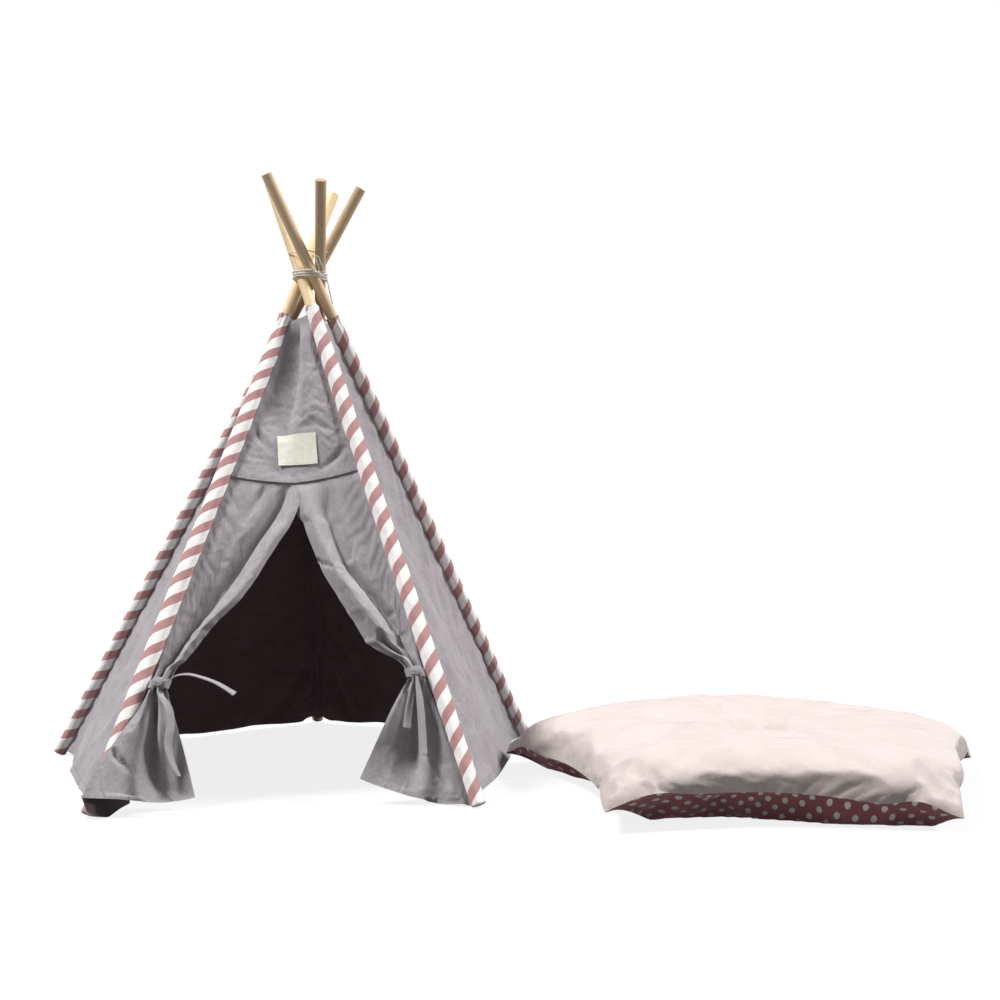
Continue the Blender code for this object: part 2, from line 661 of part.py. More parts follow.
def spaced(path, steps):
    """Points on a smooth curve through the route's own points, straight where it starts and ends."""
    gaps = [(b - a).length for a, b in zip(path, path[1:])]
    slopes = [(b - a) / gap for a, b, gap in zip(path, path[1:], gaps)]
    middle = [(before * after_gap + after * before_gap) / (before_gap + after_gap)
              for before, after, before_gap, after_gap in zip(slopes, slopes[1:], gaps, gaps[1:])]
    tangents = [slopes[0]] + middle + [slopes[-1]]
    fine = []
    for k, gap in enumerate(gaps):
        for n in range(steps):
            t = n / steps
            fine.append(path[k] * (2 * t ** 3 - 3 * t ** 2 + 1) + path[k + 1] * (3 * t ** 2 - 2 * t ** 3)
                        + tangents[k] * gap * (t ** 3 - 2 * t ** 2 + t)
                        + tangents[k + 1] * gap * (t ** 3 - t ** 2))
    fine.append(path[-1])
    return fine


def make_threading(poles, parent):
    """The thin cord through the poles' holes: a straight stretch in each hole, slack spans between them."""
    order = sorted(poles.values(), key=lambda p: math.atan2(p.waist.y, p.waist.x))
    order = order[-1:] + order[:-1]
    points = []
    for pole in order:
        start, end = thread_hole(pole)
        away = (end - start).normalized() * 0.0012
        points += [start - away, end + away] if turns_left(start, end) else [end + away, start - away]
    curve = tube_curve("threading_cord", points, THREAD_DIAMETER)
    return add_object("threading_cord", curve, (0.85, 0.84, 0.81), parent)


def turns_left(start, end):
    """Whether the way from start to end runs anticlockwise round the tent's axis."""
    here = (start + end) / 2
    return here.x * (end.y - start.y) - here.y * (end.x - start.x) > 0


def cushion_rim(azimuth):
    """Seam radius: a five-cornered outline with drawn-in sides and pointed corners."""
    part = (azimuth - 18.0) % 72.0 / 72.0
    straight = CUSHION_RADIUS * math.cos(math.radians(36)) / math.cos(math.radians(72 * part - 36))
    return straight * (1 - CUSHION_DRAWN * math.sin(math.pi * part) ** 0.8 * 0.8)


def cushion_heights(wave, radius, t):
    """Upper and lower surface heights at share t from the middle to the seam; wave is 1 on a pleat's ridge."""
    body = (1 - t ** 2.4) ** 0.72
    tuft = math.exp(-(radius / CUSHION_TUFT_RADIUS) ** 2)
    pleat = CUSHION_PLEAT * wave * math.exp(-(radius / CUSHION_PLEAT_REACH) ** 2) * t ** 0.5
    top = CUSHION_CROWN * body * (1 + pleat) - CUSHION_TUFT_DEPTH * tuft
    low = CUSHION_BELLY * (1 - t ** 3) ** 0.55
    return CUSHION_SEAM + top, max(CUSHION_SEAM - low, -CUSHION_FLAT)


def cushion_shell(side, shares):
    """Half of the cover as a solid; shares lists its rings' places from the middle to the seam."""
    spokes = 40
    bm = bmesh.new()
    layers = []
    for shrink in (0.0, CUSHION_COVER):
        layer = []
        for t in shares:
            line = []
            for k in range(spokes if t else 1):
                azimuth = 360 * k / spokes
                rim = cushion_rim(azimuth)
                wave = math.cos(math.radians(CUSHION_PLEATS * azimuth))
                upper, lower = cushion_heights(wave, t * rim, t)
                middle = CUSHION_SEAM + side * CUSHION_GAP / 2
                z = max(upper - shrink, middle) if side > 0 else min(lower + shrink, middle)
                line.append(bm.verts.new(around(azimuth, t * (rim - shrink * 1.6), z)))
            layer.append(line)
        layers.append(layer)
    for layer in layers:
        cover_faces(bm, layer)
    outer, inner = layers[0][-1], layers[1][-1]
    for k in range(spokes):
        bm.faces.new((outer[k], outer[(k + 1) % spokes], inner[(k + 1) % spokes], inner[k]))
    return bm


def cover_faces(bm, layer):
    """Faces between rings of points, with a fan round the single middle point."""
    spokes = len(layer[-1])
    for lower, upper in zip(layer, layer[1:]):
        for k in range(spokes):
            a, b = upper[k], upper[(k + 1) % spokes]
            if len(lower) == 1:
                bm.faces.new((lower[0], a, b))
            else:
                bm.faces.new((lower[k], a, b, lower[(k + 1) % spokes]))


def cushion_filling():
    """The stuffing, a closed solid inside both covers and clear of the pleats' valleys."""
    shrink = CUSHION_COVER + CUSHION_GAP
    spokes = 20
    bm = bmesh.new()
    halves = []
    for side in (1, -1):
        layer = []
        for t in FILLING_SHARES:
            line = []
            for k in range(spokes if t else 1):
                azimuth = 360 * k / spokes
                rim = cushion_rim(azimuth)
                radius = t * (rim - FILLING_INSET)
                upper, lower = cushion_heights(-1.0, radius, radius / rim)
                z = upper - shrink - FILLING_ROOM if side > 0 else max(lower, 0.0) + shrink + FILLING_ROOM
                line.append(around(azimuth, radius, z))
            layer.append(line)
        halves.append(layer)
    rim = []
    for p, q in zip(halves[0][-1], halves[1][-1]):
        rim.append(bm.verts.new(((p.x + q.x) / 2, (p.y + q.y) / 2, CUSHION_SEAM)))
    for layer in halves:
        cover_faces(bm, [[bm.verts.new(p) for p in line] for line in layer[:-1]] + [rim])
    return bm


def make_cushion(parent):
    place = Matrix.Translation((CUSHION_X, CUSHION_Y, 0)) @ Matrix.Rotation(math.radians(CUSHION_TURN), 4, "Z")
    parts = {
        "cushion_cover_top": (cushion_shell(1, TOP_SHARES), (0.80, 0.66, 0.62)),
        "cushion_cover_bottom": (cushion_shell(-1, BOTTOM_SHARES), (0.30, 0.13, 0.15)),
        "cushion_filling": (cushion_filling(), (0.85, 0.85, 0.83)),
    }
    for name, (bm, colour) in parts.items():
        if name == "cushion_cover_bottom":
            cut = bmesh.ops.bisect_plane(bm, geom=bm.verts[:] + bm.edges[:] + bm.faces[:],
                                         plane_co=(0, 0, 0), plane_no=(0, 0, -1), clear_outer=True)
            rim = [e for e in cut["geom_cut"] if isinstance(e, bmesh.types.BMEdge)]
            if rim:
                bmesh.ops.contextual_create(bm, geom=rim)
        bmesh.ops.transform(bm, matrix=place, verts=bm.verts)
        add_object(name, mesh_from(bm, name), colour, parent)


def add_pivot(name, matrix, collection):
    pivot = bpy.data.objects.new(name, None)
    pivot.empty_display_size = 0.02
    pivot.matrix_world = matrix
    collection.objects.link(pivot)
    return pivot


def main():
    clear_scene()
    collection = bpy.data.collections.new(COLLECTION)
    cutters = bpy.data.collections.new(CUTTERS)
    for c in (collection, cutters):
        bpy.context.scene.collection.children.link(c)

    poles = {name: Pole(name) for name in POLES}
    hub = add_pivot("lashing_hub", Matrix.Translation((0, 0, LASH_HEIGHT)), collection)
    pivots = {}
    for name, pole in poles.items():
        turn = Matrix((pole.swing_axis, -around(pole.azimuth), Vector((0, 0, 1)))).transposed().to_4x4()
        pivots[name] = add_pivot("pivot_" + name, Matrix.Translation(pole.waist) @ turn, collection)
    cushion = add_pivot("cushion_origin", Matrix.Translation((CUSHION_X, CUSHION_Y, 0)), collection)
    bpy.context.view_layer.update()

    for name, pole in poles.items():
        make_pole(pole, pivots[name])
        make_sleeve(pole, pivots[name])

    left, right = poles["front_left"], poles["front_right"]
    make_panel("panel_left", poles["left"], left, 0.4, 0.30, pivots["left"])
    make_panel("panel_right", right, poles["right"], 2.2, 0.10, pivots["front_right"])
    make_panel("panel_back_right", poles["right"], poles["back"], 1.1, 0.35, pivots["right"])
    make_panel("panel_back_left", poles["back"], poles["left"], 3.0, 0.35, pivots["back"])
    make_front_upper(left, right, pivots["front_left"])
    make_label(left, right, pivots["front_left"])

    sides = {
        "left": (Bundle(left, right, TIE_HEIGHT_LEFT, 1), EDGE_LEFT, SKIRT_LEFT, pivots["front_left"]),
        "right": (Bundle(right, left, TIE_HEIGHT_RIGHT, -1), EDGE_RIGHT, SKIRT_RIGHT, pivots["front_right"]),
    }
    for side, (bundle, edge, skirt, pivot) in sides.items():
        make_curtain("curtain_" + side, bundle, edge, skirt, pivot)
        make_tie_band("tie_%s_band" % side, bundle, pivot)
        make_tie_knot("tie_%s_knot" % side, bundle, pivot)
    for name, points in TAILS.items():
        bundle, _, _, pivot = sides["left" if "left" in name else "right"]
        make_tail(name, bundle, points, pivot)

    make_lashing(poles, hub)
    make_lashing_knot(poles, hub)
    make_threading(poles, hub)
    make_cushion(cushion)
    bed = add_pivot("bed_origin", Matrix.Translation((TENT_X, TENT_Y, 0)), collection)
    for pivot in (hub, cushion, *pivots.values()):
        pivot.parent = bed
    bpy.context.view_layer.update()


main()
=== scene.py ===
"""Looks of the cat teepee bed: cloth, wood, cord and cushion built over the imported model.

Metres, +Z up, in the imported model's frame. Sizes that the model fixes are repeated here as constants;
sizes and colours that a user would change are properties, shown in the sidebar's Teepee bed tab.
"""

import math

import bmesh
import bpy
import numpy as np
from bpy.props import FloatProperty, FloatVectorProperty, IntProperty, PointerProperty
from mathutils import Matrix, Vector, noise


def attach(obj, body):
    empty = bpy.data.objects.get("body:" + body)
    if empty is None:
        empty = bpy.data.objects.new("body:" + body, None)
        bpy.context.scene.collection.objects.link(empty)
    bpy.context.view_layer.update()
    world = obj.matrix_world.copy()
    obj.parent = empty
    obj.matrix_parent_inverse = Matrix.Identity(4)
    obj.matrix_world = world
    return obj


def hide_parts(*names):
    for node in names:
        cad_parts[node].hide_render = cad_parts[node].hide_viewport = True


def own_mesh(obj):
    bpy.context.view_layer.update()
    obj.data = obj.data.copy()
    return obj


bl_info = {
    "name": "Cat teepee bed looks",
    "version": (1, 0, 0),
    "blender": (4, 5, 0),
    "location": "3D View > Sidebar > Teepee bed",
    "description": "Dresses the packed cat teepee bed in cotton, pine and cord",
    "category": "Object",
}

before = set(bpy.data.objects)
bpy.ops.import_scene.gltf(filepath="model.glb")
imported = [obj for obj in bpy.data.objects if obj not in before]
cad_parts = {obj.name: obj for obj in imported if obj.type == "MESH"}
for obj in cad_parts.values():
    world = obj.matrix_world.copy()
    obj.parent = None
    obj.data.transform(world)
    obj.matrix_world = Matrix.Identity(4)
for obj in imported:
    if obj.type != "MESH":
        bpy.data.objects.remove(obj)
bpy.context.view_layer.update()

# poles, as in the model: foot azimuth, foot distance, sector azimuth, bare length under the lashing
POLES = {
    "front_left": (228.0, 0.325, 234.0, 0.058),
    "front_right": (306.0, 0.305, 306.0, 0.046),
    "right": (27.0, 0.32, 18.0, 0.056),
    "back": (89.0, 0.341, 90.0, 0.056),
    "left": (160.0, 0.335, 162.0, 0.056),
}
TENT = Vector((-0.231, 0.0345, 0.0))
POLE_DIAMETER = 0.013
LASH_HEIGHT = 0.593
# the crossing points stand off the tent's axis until neighbouring poles clear each other
CROSSING_GAP = 0.00055
CROSSING_SPREAD = 2 * math.sin(math.radians(36)) * 0.9005
LASH_OFFSET = (POLE_DIAMETER + CROSSING_GAP) / CROSSING_SPREAD
FOLD_LIMIT = 17.0
HOLE_ABOVE_LASH = 0.031
SLEEVE_RADIUS = 0.008
SLEEVE_FULLNESS = 0.0024
SLEEVE_FLARE = 0.06
SLEEVE_TAPER = 0.15
# share of the sleeve's radius and distance past the pole's end, round the sewn bottom
SLEEVE_BOTTOM = ((1.0, 0.0), (0.93, 0.00108), (0.72, 0.0018))
STRIPE_SHIFT = {"front_left": 0.0115, "front_right": -0.005, "right": 0.0, "back": 0.0, "left": 0.0}
# the sleeves aren't cut at quite the same bias; this is each one's climb as a share of the slant's
STRIPE_CLIMB = {"front_left": 1.0, "front_right": 0.95, "right": 0.85, "back": 1.0, "left": 0.75}
FOOT_FLAT = 0.0005

# cloth of the tent, as in the model
CLOTH = 0.001
SEAM_GAP = 0.0006
TOP_GAP = 0.006
HEM_HEIGHT = 0.01
HEM_FLARE = 0.009
HEM_FOLD = 0.0006
FOLD_DEPTH = 0.003
FOLDS = 3
BIAS_FOLD = 0.004
FRONT_SEAM_LEFT = 0.3475
FRONT_SEAM_RIGHT = 0.359
FRONT_SEAM_SAG = 0.0115
TIE_HEIGHT_LEFT = 0.129
TIE_HEIGHT_RIGHT = 0.137
BUNDLE_WIDTH = 0.02
BUNDLE_DEPTH = 0.013
BUNDLE_FOLDS = 2
# sideways place, height and stand-off of each curtain's hem at its outer and inner end
SKIRT_LEFT = ((-0.2235, 0.019, 0.0135), (-0.1145, 0.0235, 0.004))
SKIRT_RIGHT = ((0.1665, 0.006, 0.0035), (0.056, 0.0375, 0.001))
LABEL = (0.044, 0.037, 0.0008)
LABEL_PLACE = (-0.0122, 0.38)
LABEL_TILT = 3.5
# how far the patch sits over its place in the model, and what the panel's slope leaves of its height
LABEL_LIFT = 0.0015
LABEL_SLOPE = 0.94

# ties, as in the model
RIBBON_WIDTH = 0.0085
RIBBON = 0.0008
TIE_CLEARANCE = 0.0003
KNOT_SIZE = (0.013, 0.011, 0.007)
# points that each free end follows from its knot: sideways, up the front, stand-off
TAILS = {
    "tie_left_tail_side": [(0.0069, 0.001, 0.0), (0.0105, 0.001, 0.0), (0.0185, 0.005, 0.0036),
                           (0.0318, 0.006, 0.0046), (0.0454, 0.0026, 0.004), (0.0569, -0.0018, 0.0033),
                           (0.0685, -0.0085, 0.0027), (0.0801, -0.0162, 0.002)],
    "tie_left_tail_hanging": [(0.0012, -0.0059, 0.0), (0.0012, -0.009, 0.0), (0.0062, -0.0184, 0.0044),
                              (0.0135, -0.0312, 0.004), (0.0158, -0.0491, 0.0035), (0.0147, -0.0689, 0.0035),
                              (0.0195, -0.0866, 0.004), (0.0271, -0.1011, 0.0045)],
    "tie_right_tail_front": [(0.001, -0.0059, 0.0013), (0.001, -0.0095, 0.0013), (0.0023, -0.0248, 0.002),
                             (0.004, -0.0465, 0.0018), (0.0048, -0.0679, 0.0018), (0.0053, -0.0913, 0.0022)],
    "tie_right_tail_back": [(-0.002, -0.0059, -0.0013), (-0.002, -0.0095, -0.0013),
                            (-0.0062, -0.0293, -0.001), (-0.0092, -0.0457, -0.0008),
                            (-0.0112, -0.062, -0.0004)],
}

# how each tie's free end is turned on its long axis and how much of its width is left, by share of its length
RIBBON_TURNS = {
    "tie_left_tail_side": ((0, 78), (0.3, 62), (0.7, 58), (1, 48)),
    "tie_left_tail_hanging": ((0, 70), (0.25, 22), (0.5, 8), (0.75, 48), (1, 74)),
    "tie_right_tail_front": ((0, 52), (0.3, 30), (0.6, 12), (1, 6)),
    "tie_right_tail_back": ((0, 50), (0.4, 30), (1, 20)),
}
RIBBON_WIDTHS = {
    "tie_left_tail_side": ((0, 0.75), (1, 1)),
    "tie_left_tail_hanging": ((0, 0.6), (0.3, 1), (0.9, 1), (1, 0.75)),
    "tie_right_tail_front": ((0, 0.6), (0.3, 0.9), (1, 1)),
    "tie_right_tail_back": ((0, 0.6), (0.3, 0.9), (1, 1)),
}

# lashing, as in the model
CORD_DIAMETER = 0.0022
CORD_CLEARANCE = 0.0009
LASH_TURNS = 3
LASH_PITCH = 0.003
KNOT_AZIMUTH = 305.0
THREAD_DIAMETER = 0.0016
KNOT_RADIUS = 0.004
KNOT_CORD = 0.0016
KNOT_RISE = 0.0019
# points that the lashing's free end and bow follow from the knot: along the bundle, outwards, up
LASH_TAIL = [(0.0051, -0.0011, -0.0008), (0.0064, 0.0002, -0.003), (0.0076, 0.0013, -0.0062),
             (0.0088, 0.0019, -0.0108), (0.01, 0.0024, -0.0165), (0.0114, 0.0028, -0.0228),
             (0.013, 0.003, -0.029), (0.0146, 0.0032, -0.035)]
LASH_BOW = [(-0.0022, -0.0009, 0.0052), (-0.0034, -0.0002, 0.0074), (-0.0052, 0.0006, 0.0102),
            (-0.0072, 0.0012, 0.014), (-0.0086, 0.0016, 0.018), (-0.0072, 0.002, 0.0204),
            (-0.0048, 0.002, 0.0188), (-0.0024, 0.0018, 0.0144), (0.0006, 0.0016, 0.01),
            (0.0018, 0.0013, 0.0074), (0.0022, 0.0011, 0.0053)]

# cushion, as in the model
CUSHION_PLACE = (0.504 + TENT.x, -0.164 + TENT.y)
CUSHION_TURN = -9.4
CUSHION_RADIUS = 0.283
CUSHION_SEAM = 0.024
CUSHION_DRAWN = 0.075
CUSHION_TUFT_DEPTH = 0.024
CUSHION_TUFT_RADIUS = 0.03
CUSHION_PLEATS = 7
# share of the seam radius where the top turns down into the side, and how far the top has sunk there
CUSHION_EDGE = 0.7
CUSHION_SHOULDER = 0.006
# height over the seam before the stuffing lifts it, and how far each side's seam is carried up
CUSHION_FULL = 0.048
CUSHION_RISE = (0.018, 0.018, 0.013, 0.021, 0.018)
# how far the stuffed side's round section goes on under its fullest line, in degrees
CUSHION_TURN_UNDER = 24
CUSHION_ARC = 90 + CUSHION_TURN_UNDER
# how far from the tuft the top is drawn in and pleated
CUSHION_REACH = 0.085


def linear(code):
    """Linear colour of an sRGB hex code such as 9A9298."""
    parts = [int(code[k:k + 2], 16) / 255 for k in (0, 2, 4)]
    return tuple(c / 12.92 if c <= 0.04045 else ((c + 0.055) / 1.055) ** 2.4 for c in parts)


def colour_property(name, description, code):
    return FloatVectorProperty(name=name, description=description, subtype="COLOR", size=3,
                               min=0, max=1, default=linear(code))


def length_property(name, description, default, least, most):
    return FloatProperty(name=name, description=description, unit="LENGTH", default=default, min=least,
                         max=most)


class ClothLook(bpy.types.PropertyGroup):
    wrinkle: length_property("Wrinkles", "Height of the cloth's soft wrinkles", 0.0012, 0, 0.004)
    thread: length_property("Thread spacing", "Distance between drawn threads of the canvas", 0.0012, 0.0003,
                            0.003)
    stripe: length_property("Stripe repeat", "One rose and one white stripe, along the pole", 0.029, 0.005,
                            0.1)
    slant: FloatProperty(name="Stripe slant", description="How far the stripes climb round the sleeve",
                         unit="ROTATION", default=math.radians(40), min=0, max=math.radians(80))
    stitch: length_property("Stitch length", "Distance from one stitch to the next", 0.0038, 0.001, 0.01)
    hem: length_property("Hem width", "Distance of a hem's stitch line from its edge", 0.0085, 0.003, 0.02)


class CushionLook(bpy.types.PropertyGroup):
    pleat: length_property("Pleat height", "Height of the folds that run to the tuft", 0.004, 0, 0.01)
    dot: length_property("Dot size", "Diameter of the underside's dots", 0.0062, 0.001, 0.02)
    dot_spacing: length_property("Dot spacing", "Distance between neighbouring dots", 0.013, 0.002, 0.05)
    rings: IntProperty(name="Rings", description="Rings of faces from the middle to the seam",
                       default=64, min=10, max=120)


class Colours(bpy.types.PropertyGroup):
    canvas: colour_property("Canvas", "Grey canvas of the tent", "A09A9E")
    # the inner side is the same cloth as the canvas, coloured darker and warmer as painted shade of the
    # tent's inside
    lining: colour_property("Inner side", "Inner side of the canvas", "93797C")
    rose: colour_property("Rose stripe", "Dyed stripe of the sleeves", "B98A89")
    white: colour_property("White stripe", "Undyed stripe of the sleeves", "F6F3F0")
    pine: colour_property("Pine", "Bare wood of the poles", "E2C69E")
    cord: colour_property("Cord", "Cotton cord of the lashing", "EFEDE8")
    label: colour_property("Label", "Cream cotton of the label", "EFEBDD")
    pink: colour_property("Cushion top", "Pale pink pile of the cushion", "BDAFAB")
    plum: colour_property("Cushion underside", "Plum cotton of the underside", "96595F")


# what one operator makes and the others use again
PARTS = {}


def smooth(x):
    x = min(1.0, max(0.0, x))
    return x * x * (3 - 2 * x)


def lerp(a, b, t):
    return a + (b - a) * t


def around(azimuth, distance=1.0, z=0.0):
    a = math.radians(azimuth)
    return Vector((distance * math.cos(a), distance * math.sin(a), z))


def curve_value(points, x):
    """Value at x on the straight lines through (x, value) points, x falling along the list."""
    if x >= points[0][0]:
        return points[0][1]
    for (x0, v0), (x1, v1) in zip(points, points[1:]):
        if x >= x1:
            return lerp(v0, v1, (x0 - x) / (x0 - x1))
    return points[-1][1]


def spaced(path, steps):
    """Points on a smooth curve through the route's own points, straight where it starts and ends."""
    gaps = [(b - a).length for a, b in zip(path, path[1:])]
    slopes = [(b - a) / gap for a, b, gap in zip(path, path[1:], gaps)]
    middle = [(before * after_gap + after * before_gap) / (before_gap + after_gap)
              for before, after, before_gap, after_gap in zip(slopes, slopes[1:], gaps, gaps[1:])]
    tangents = [slopes[0]] + middle + [slopes[-1]]
    fine = []
    for k, gap in enumerate(gaps):
        for n in range(steps):
            t = n / steps
            fine.append(path[k] * (2 * t ** 3 - 3 * t ** 2 + 1) + path[k + 1] * (3 * t ** 2 - 2 * t ** 3)
                        + tangents[k] * gap * (t ** 3 - 2 * t ** 2 + t)
                        + tangents[k + 1] * gap * (t ** 3 - t ** 2))
    fine.append(path[-1])
    return fine


class Pole:
    """A pole's line in the standing tent, in the model's frame; waist is where it crosses the lashing."""

    def __init__(self, name):
        azimuth, distance, sector, bare = POLES[name]
        self.name, self.azimuth, self.bare = name, azimuth, bare
        self.waist = around(sector - 90, LASH_OFFSET, LASH_HEIGHT)
        foot = around(azimuth, distance)
        for _ in range(4):
            self.down = (foot - self.waist).normalized()
            splay = math.acos(-self.down.z)
            foot.z = max(SLEEVE_RADIUS * share * math.sin(splay) + past * math.cos(splay)
                         for share, past in SLEEVE_BOTTOM) - FOOT_FLAT
        self.reach = (foot - self.waist).length
        self.waist = self.waist + TENT
        self.foot = foot + TENT
        self.side = (around(azimuth + 90) - self.down * around(azimuth + 90).dot(self.down)).normalized()
        self.out = self.side.cross(self.down).normalized()
        if self.out.dot(around(azimuth)) < 0:
            self.out = -self.out

    def at(self, d):
        return self.waist + self.down * d

    def depth_at(self, z):
        return (self.waist.z - z) / -self.down.z

    def sleeve_half(self, d):
        """Half width of the sleeve along the side and out directions."""
        full = smooth((d - self.bare) / SLEEVE_FLARE)
        taper = smooth((d - self.reach + SLEEVE_TAPER) / (SLEEVE_TAPER * 0.8))
        return (SLEEVE_RADIUS + SLEEVE_FULLNESS * full * (1 - 0.7 * taper),
                SLEEVE_RADIUS + 0.0004 * full * (1 - taper))

    def edge(self, other, z, gap=SEAM_GAP):
        """Where cloth running towards the other pole meets this sleeve, at height z."""
        d = self.depth_at(z)
        here = self.at(d)
        towards = other.at(other.depth_at(z)) - here
        towards = (towards - self.down * towards.dot(self.down)).normalized()
        a, b = self.sleeve_half(d)
        radius = a * b / math.hypot(b * towards.dot(self.side), a * towards.dot(self.out))
        return here + towards * (radius + gap)


POLE = {name: Pole(name) for name in POLES}
FRONT = POLE["front_left"], POLE["front_right"]


def fold_keep(own, other):
    """Share of a panel's width left when the tent is folded to its limit, from the two poles' directions."""
    def apart(turn):
        turned = [Matrix.Rotation(turn, 3, around(pole.azimuth + 90)) @ pole.down for pole in (own, other)]
        return turned[0].angle(turned[1])

    limit = math.radians(FOLD_LIMIT)
    return math.tan(min(apart(limit), apart(-limit))) / math.tan(apart(0.0))


def hang_on(piece, own, other=None, replaces=()):
    """The piece rides its pole's body, with its own copy of its mesh where it spans to another pole; the
    model's nodes that it replaces are hidden.
    """
    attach(piece, own.name)
    if other is not None:
        across = other.down - own.down * other.down.dot(own.down)
        fold_keep(own, other)
        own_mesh(piece)
    if replaces:
        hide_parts(*replaces)


def stand_in(piece, body, slot, *nodes):
    """The piece rides a body and takes the place of the model's nodes, which are hidden; slot is not used."""
    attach(piece, body)
    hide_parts(*nodes)


# materials


def add(tree, kind, inputs=None, ramp=None, **settings):
    """Adds a node with its settings. inputs maps a socket's name or number to a value, to an output to link
    or to a node whose first output is linked."""
    made = tree.nodes.new(kind)
    for key, value in settings.items():
        setattr(made, key, value)
    for key, value in (inputs or {}).items():
        if isinstance(value, bpy.types.Node):
            value = value.outputs[0]
        if isinstance(value, bpy.types.NodeSocket):
            tree.links.new(value, made.inputs[key])
        else:
            made.inputs[key].default_value = value
    if ramp:
        stops = made.color_ramp.elements
        while len(stops) < len(ramp):
            stops.new(0.5)
        for stop, (place, colour) in zip(stops, ramp):
            stop.position = place
            stop.color = (*colour, 1)
    return made


def start_material(name, roughness, **sockets):
    material = bpy.data.materials.new(name)
    material.use_nodes = True
    tree = material.node_tree
    shader = tree.nodes["Principled BSDF"]
    shader.inputs["Roughness"].default_value = roughness
    for key, value in sockets.items():
        shader.inputs[key.replace("_", " ")].default_value = value
    return material, tree, shader


def finish_material(tree, shader, colour, height, strength, depth):
    """Links the colour, and the height as a fine bump, to the shader."""
    bump = add(tree, "ShaderNodeBump", {"Height": height, "Strength": strength, "Distance": depth})
    tree.links.new(colour.outputs[0], shader.inputs["Base Color"])
    tree.links.new(bump.outputs[0], shader.inputs["Normal"])


def shade(colour, factor):
    return tuple(min(1.0, c * factor) for c in colour)


def weave_height(tree, place, spacing):
    """Height of a plain weave of that thread spacing, with slubs, on coordinates in metres."""
    # at scale 1 a wave texture repeats every 0.31416 m
    threads = [add(tree, "ShaderNodeTexWave", {
        "Vector": place, "Scale": 0.31416 / spacing, "Distortion": 0.6, "Detail": 1.0, "Detail Scale": 2.0},
        bands_direction=direction).outputs["Fac"] for direction in "XY"]
    return add(tree, "ShaderNodeMath", dict(enumerate(threads)), operation="MULTIPLY")


def canvas_cotton(name, colour, spacing):
    """Cotton canvas in plain weave, piece dyed and washed: matt, cloudy where the dye took unevenly, with a
    fine fleck of thicker threads and a faint fuzz."""
    material, tree, shader = start_material(name, 0.92, Sheen_Weight=0.15, Sheen_Roughness=0.6, IOR=1.47)
    place = add(tree, "ShaderNodeUVMap", uv_map="Cloth")
    # canvas threads are 0.5 mm apart; they are drawn wider so that the weave shows at all
    woven = weave_height(tree, place, spacing)
    flecks = []
    for scale in (1100, 160, 1), (160, 1100, 1):
        along = add(tree, "ShaderNodeMapping", {"Vector": place, "Scale": scale})
        flecks.append(add(tree, "ShaderNodeTexNoise", {"Vector": along, "Scale": 1.0, "Detail": 2.0}))
    slubs = add(tree, "ShaderNodeMath", dict(enumerate(flecks)), operation="ADD")
    clouds = add(tree, "ShaderNodeTexNoise", {"Vector": place, "Scale": 26.0, "Detail": 8.0,
                                              "Roughness": 0.68, "Distortion": 0.6})
    dyed = add(tree, "ShaderNodeMath", {0: clouds, 1: 1.7, 2: slubs}, operation="MULTIPLY_ADD")
    spread = add(tree, "ShaderNodeMapRange", {"Value": dyed, "From Min": 1.35, "From Max": 2.35})
    tint = add(tree, "ShaderNodeValToRGB", {0: spread},
               ramp=[(0.1, shade(colour, 0.72)), (0.5, colour), (0.9, shade(colour, 1.18))])
    height = add(tree, "ShaderNodeMath", {0: woven, 1: slubs}, operation="ADD")
    finish_material(tree, shader, tint, height, 0.3, 0.0005)
    return material


def striped_cotton(name, rose, white, repeat, slant, spacing):
    """Yarn-dyed striped cotton cut on the bias: crisp matt stripes with the weave over both."""
    material, tree, shader = start_material(name, 0.88, Sheen_Weight=0.12, Sheen_Roughness=0.6, IOR=1.47)
    place = add(tree, "ShaderNodeUVMap", uv_map="Cloth")
    split = add(tree, "ShaderNodeSeparateXYZ", {0: place}).outputs
    climb = add(tree, "ShaderNodeMath", {0: split["X"], 1: math.tan(slant), 2: split["Y"]},
                operation="MULTIPLY_ADD")
    wobble = add(tree, "ShaderNodeTexNoise", {"Vector": place, "Scale": 400.0, "Detail": 1.0})
    wobbly = add(tree, "ShaderNodeMath", {0: wobble, 1: 0.0006, 2: climb}, operation="MULTIPLY_ADD")
    repeats = add(tree, "ShaderNodeMath", {0: wobbly, 1: 1 / repeat}, operation="MULTIPLY")
    part = add(tree, "ShaderNodeMath", {0: repeats}, operation="FRACT")
    stripes = add(tree, "ShaderNodeValToRGB", {0: part},
                  ramp=[(0.0, white), (0.015, rose), (0.455, rose), (0.47, white)])
    wear = add(tree, "ShaderNodeTexNoise", {"Vector": place, "Scale": 120.0, "Detail": 5.0})
    darker = add(tree, "ShaderNodeMapRange", {"Value": wear, "From Min": 0.3, "From Max": 0.7,
                                              "To Min": 0.9, "To Max": 1.04})
    worn = add(tree, "ShaderNodeVectorMath", {0: stripes, 1: darker}, operation="MULTIPLY")
    # percale threads are 0.4 mm apart; they are drawn wider so that the weave shows at all
    finish_material(tree, shader, worn, weave_height(tree, place, spacing), 0.25, 0.0004)
    return material


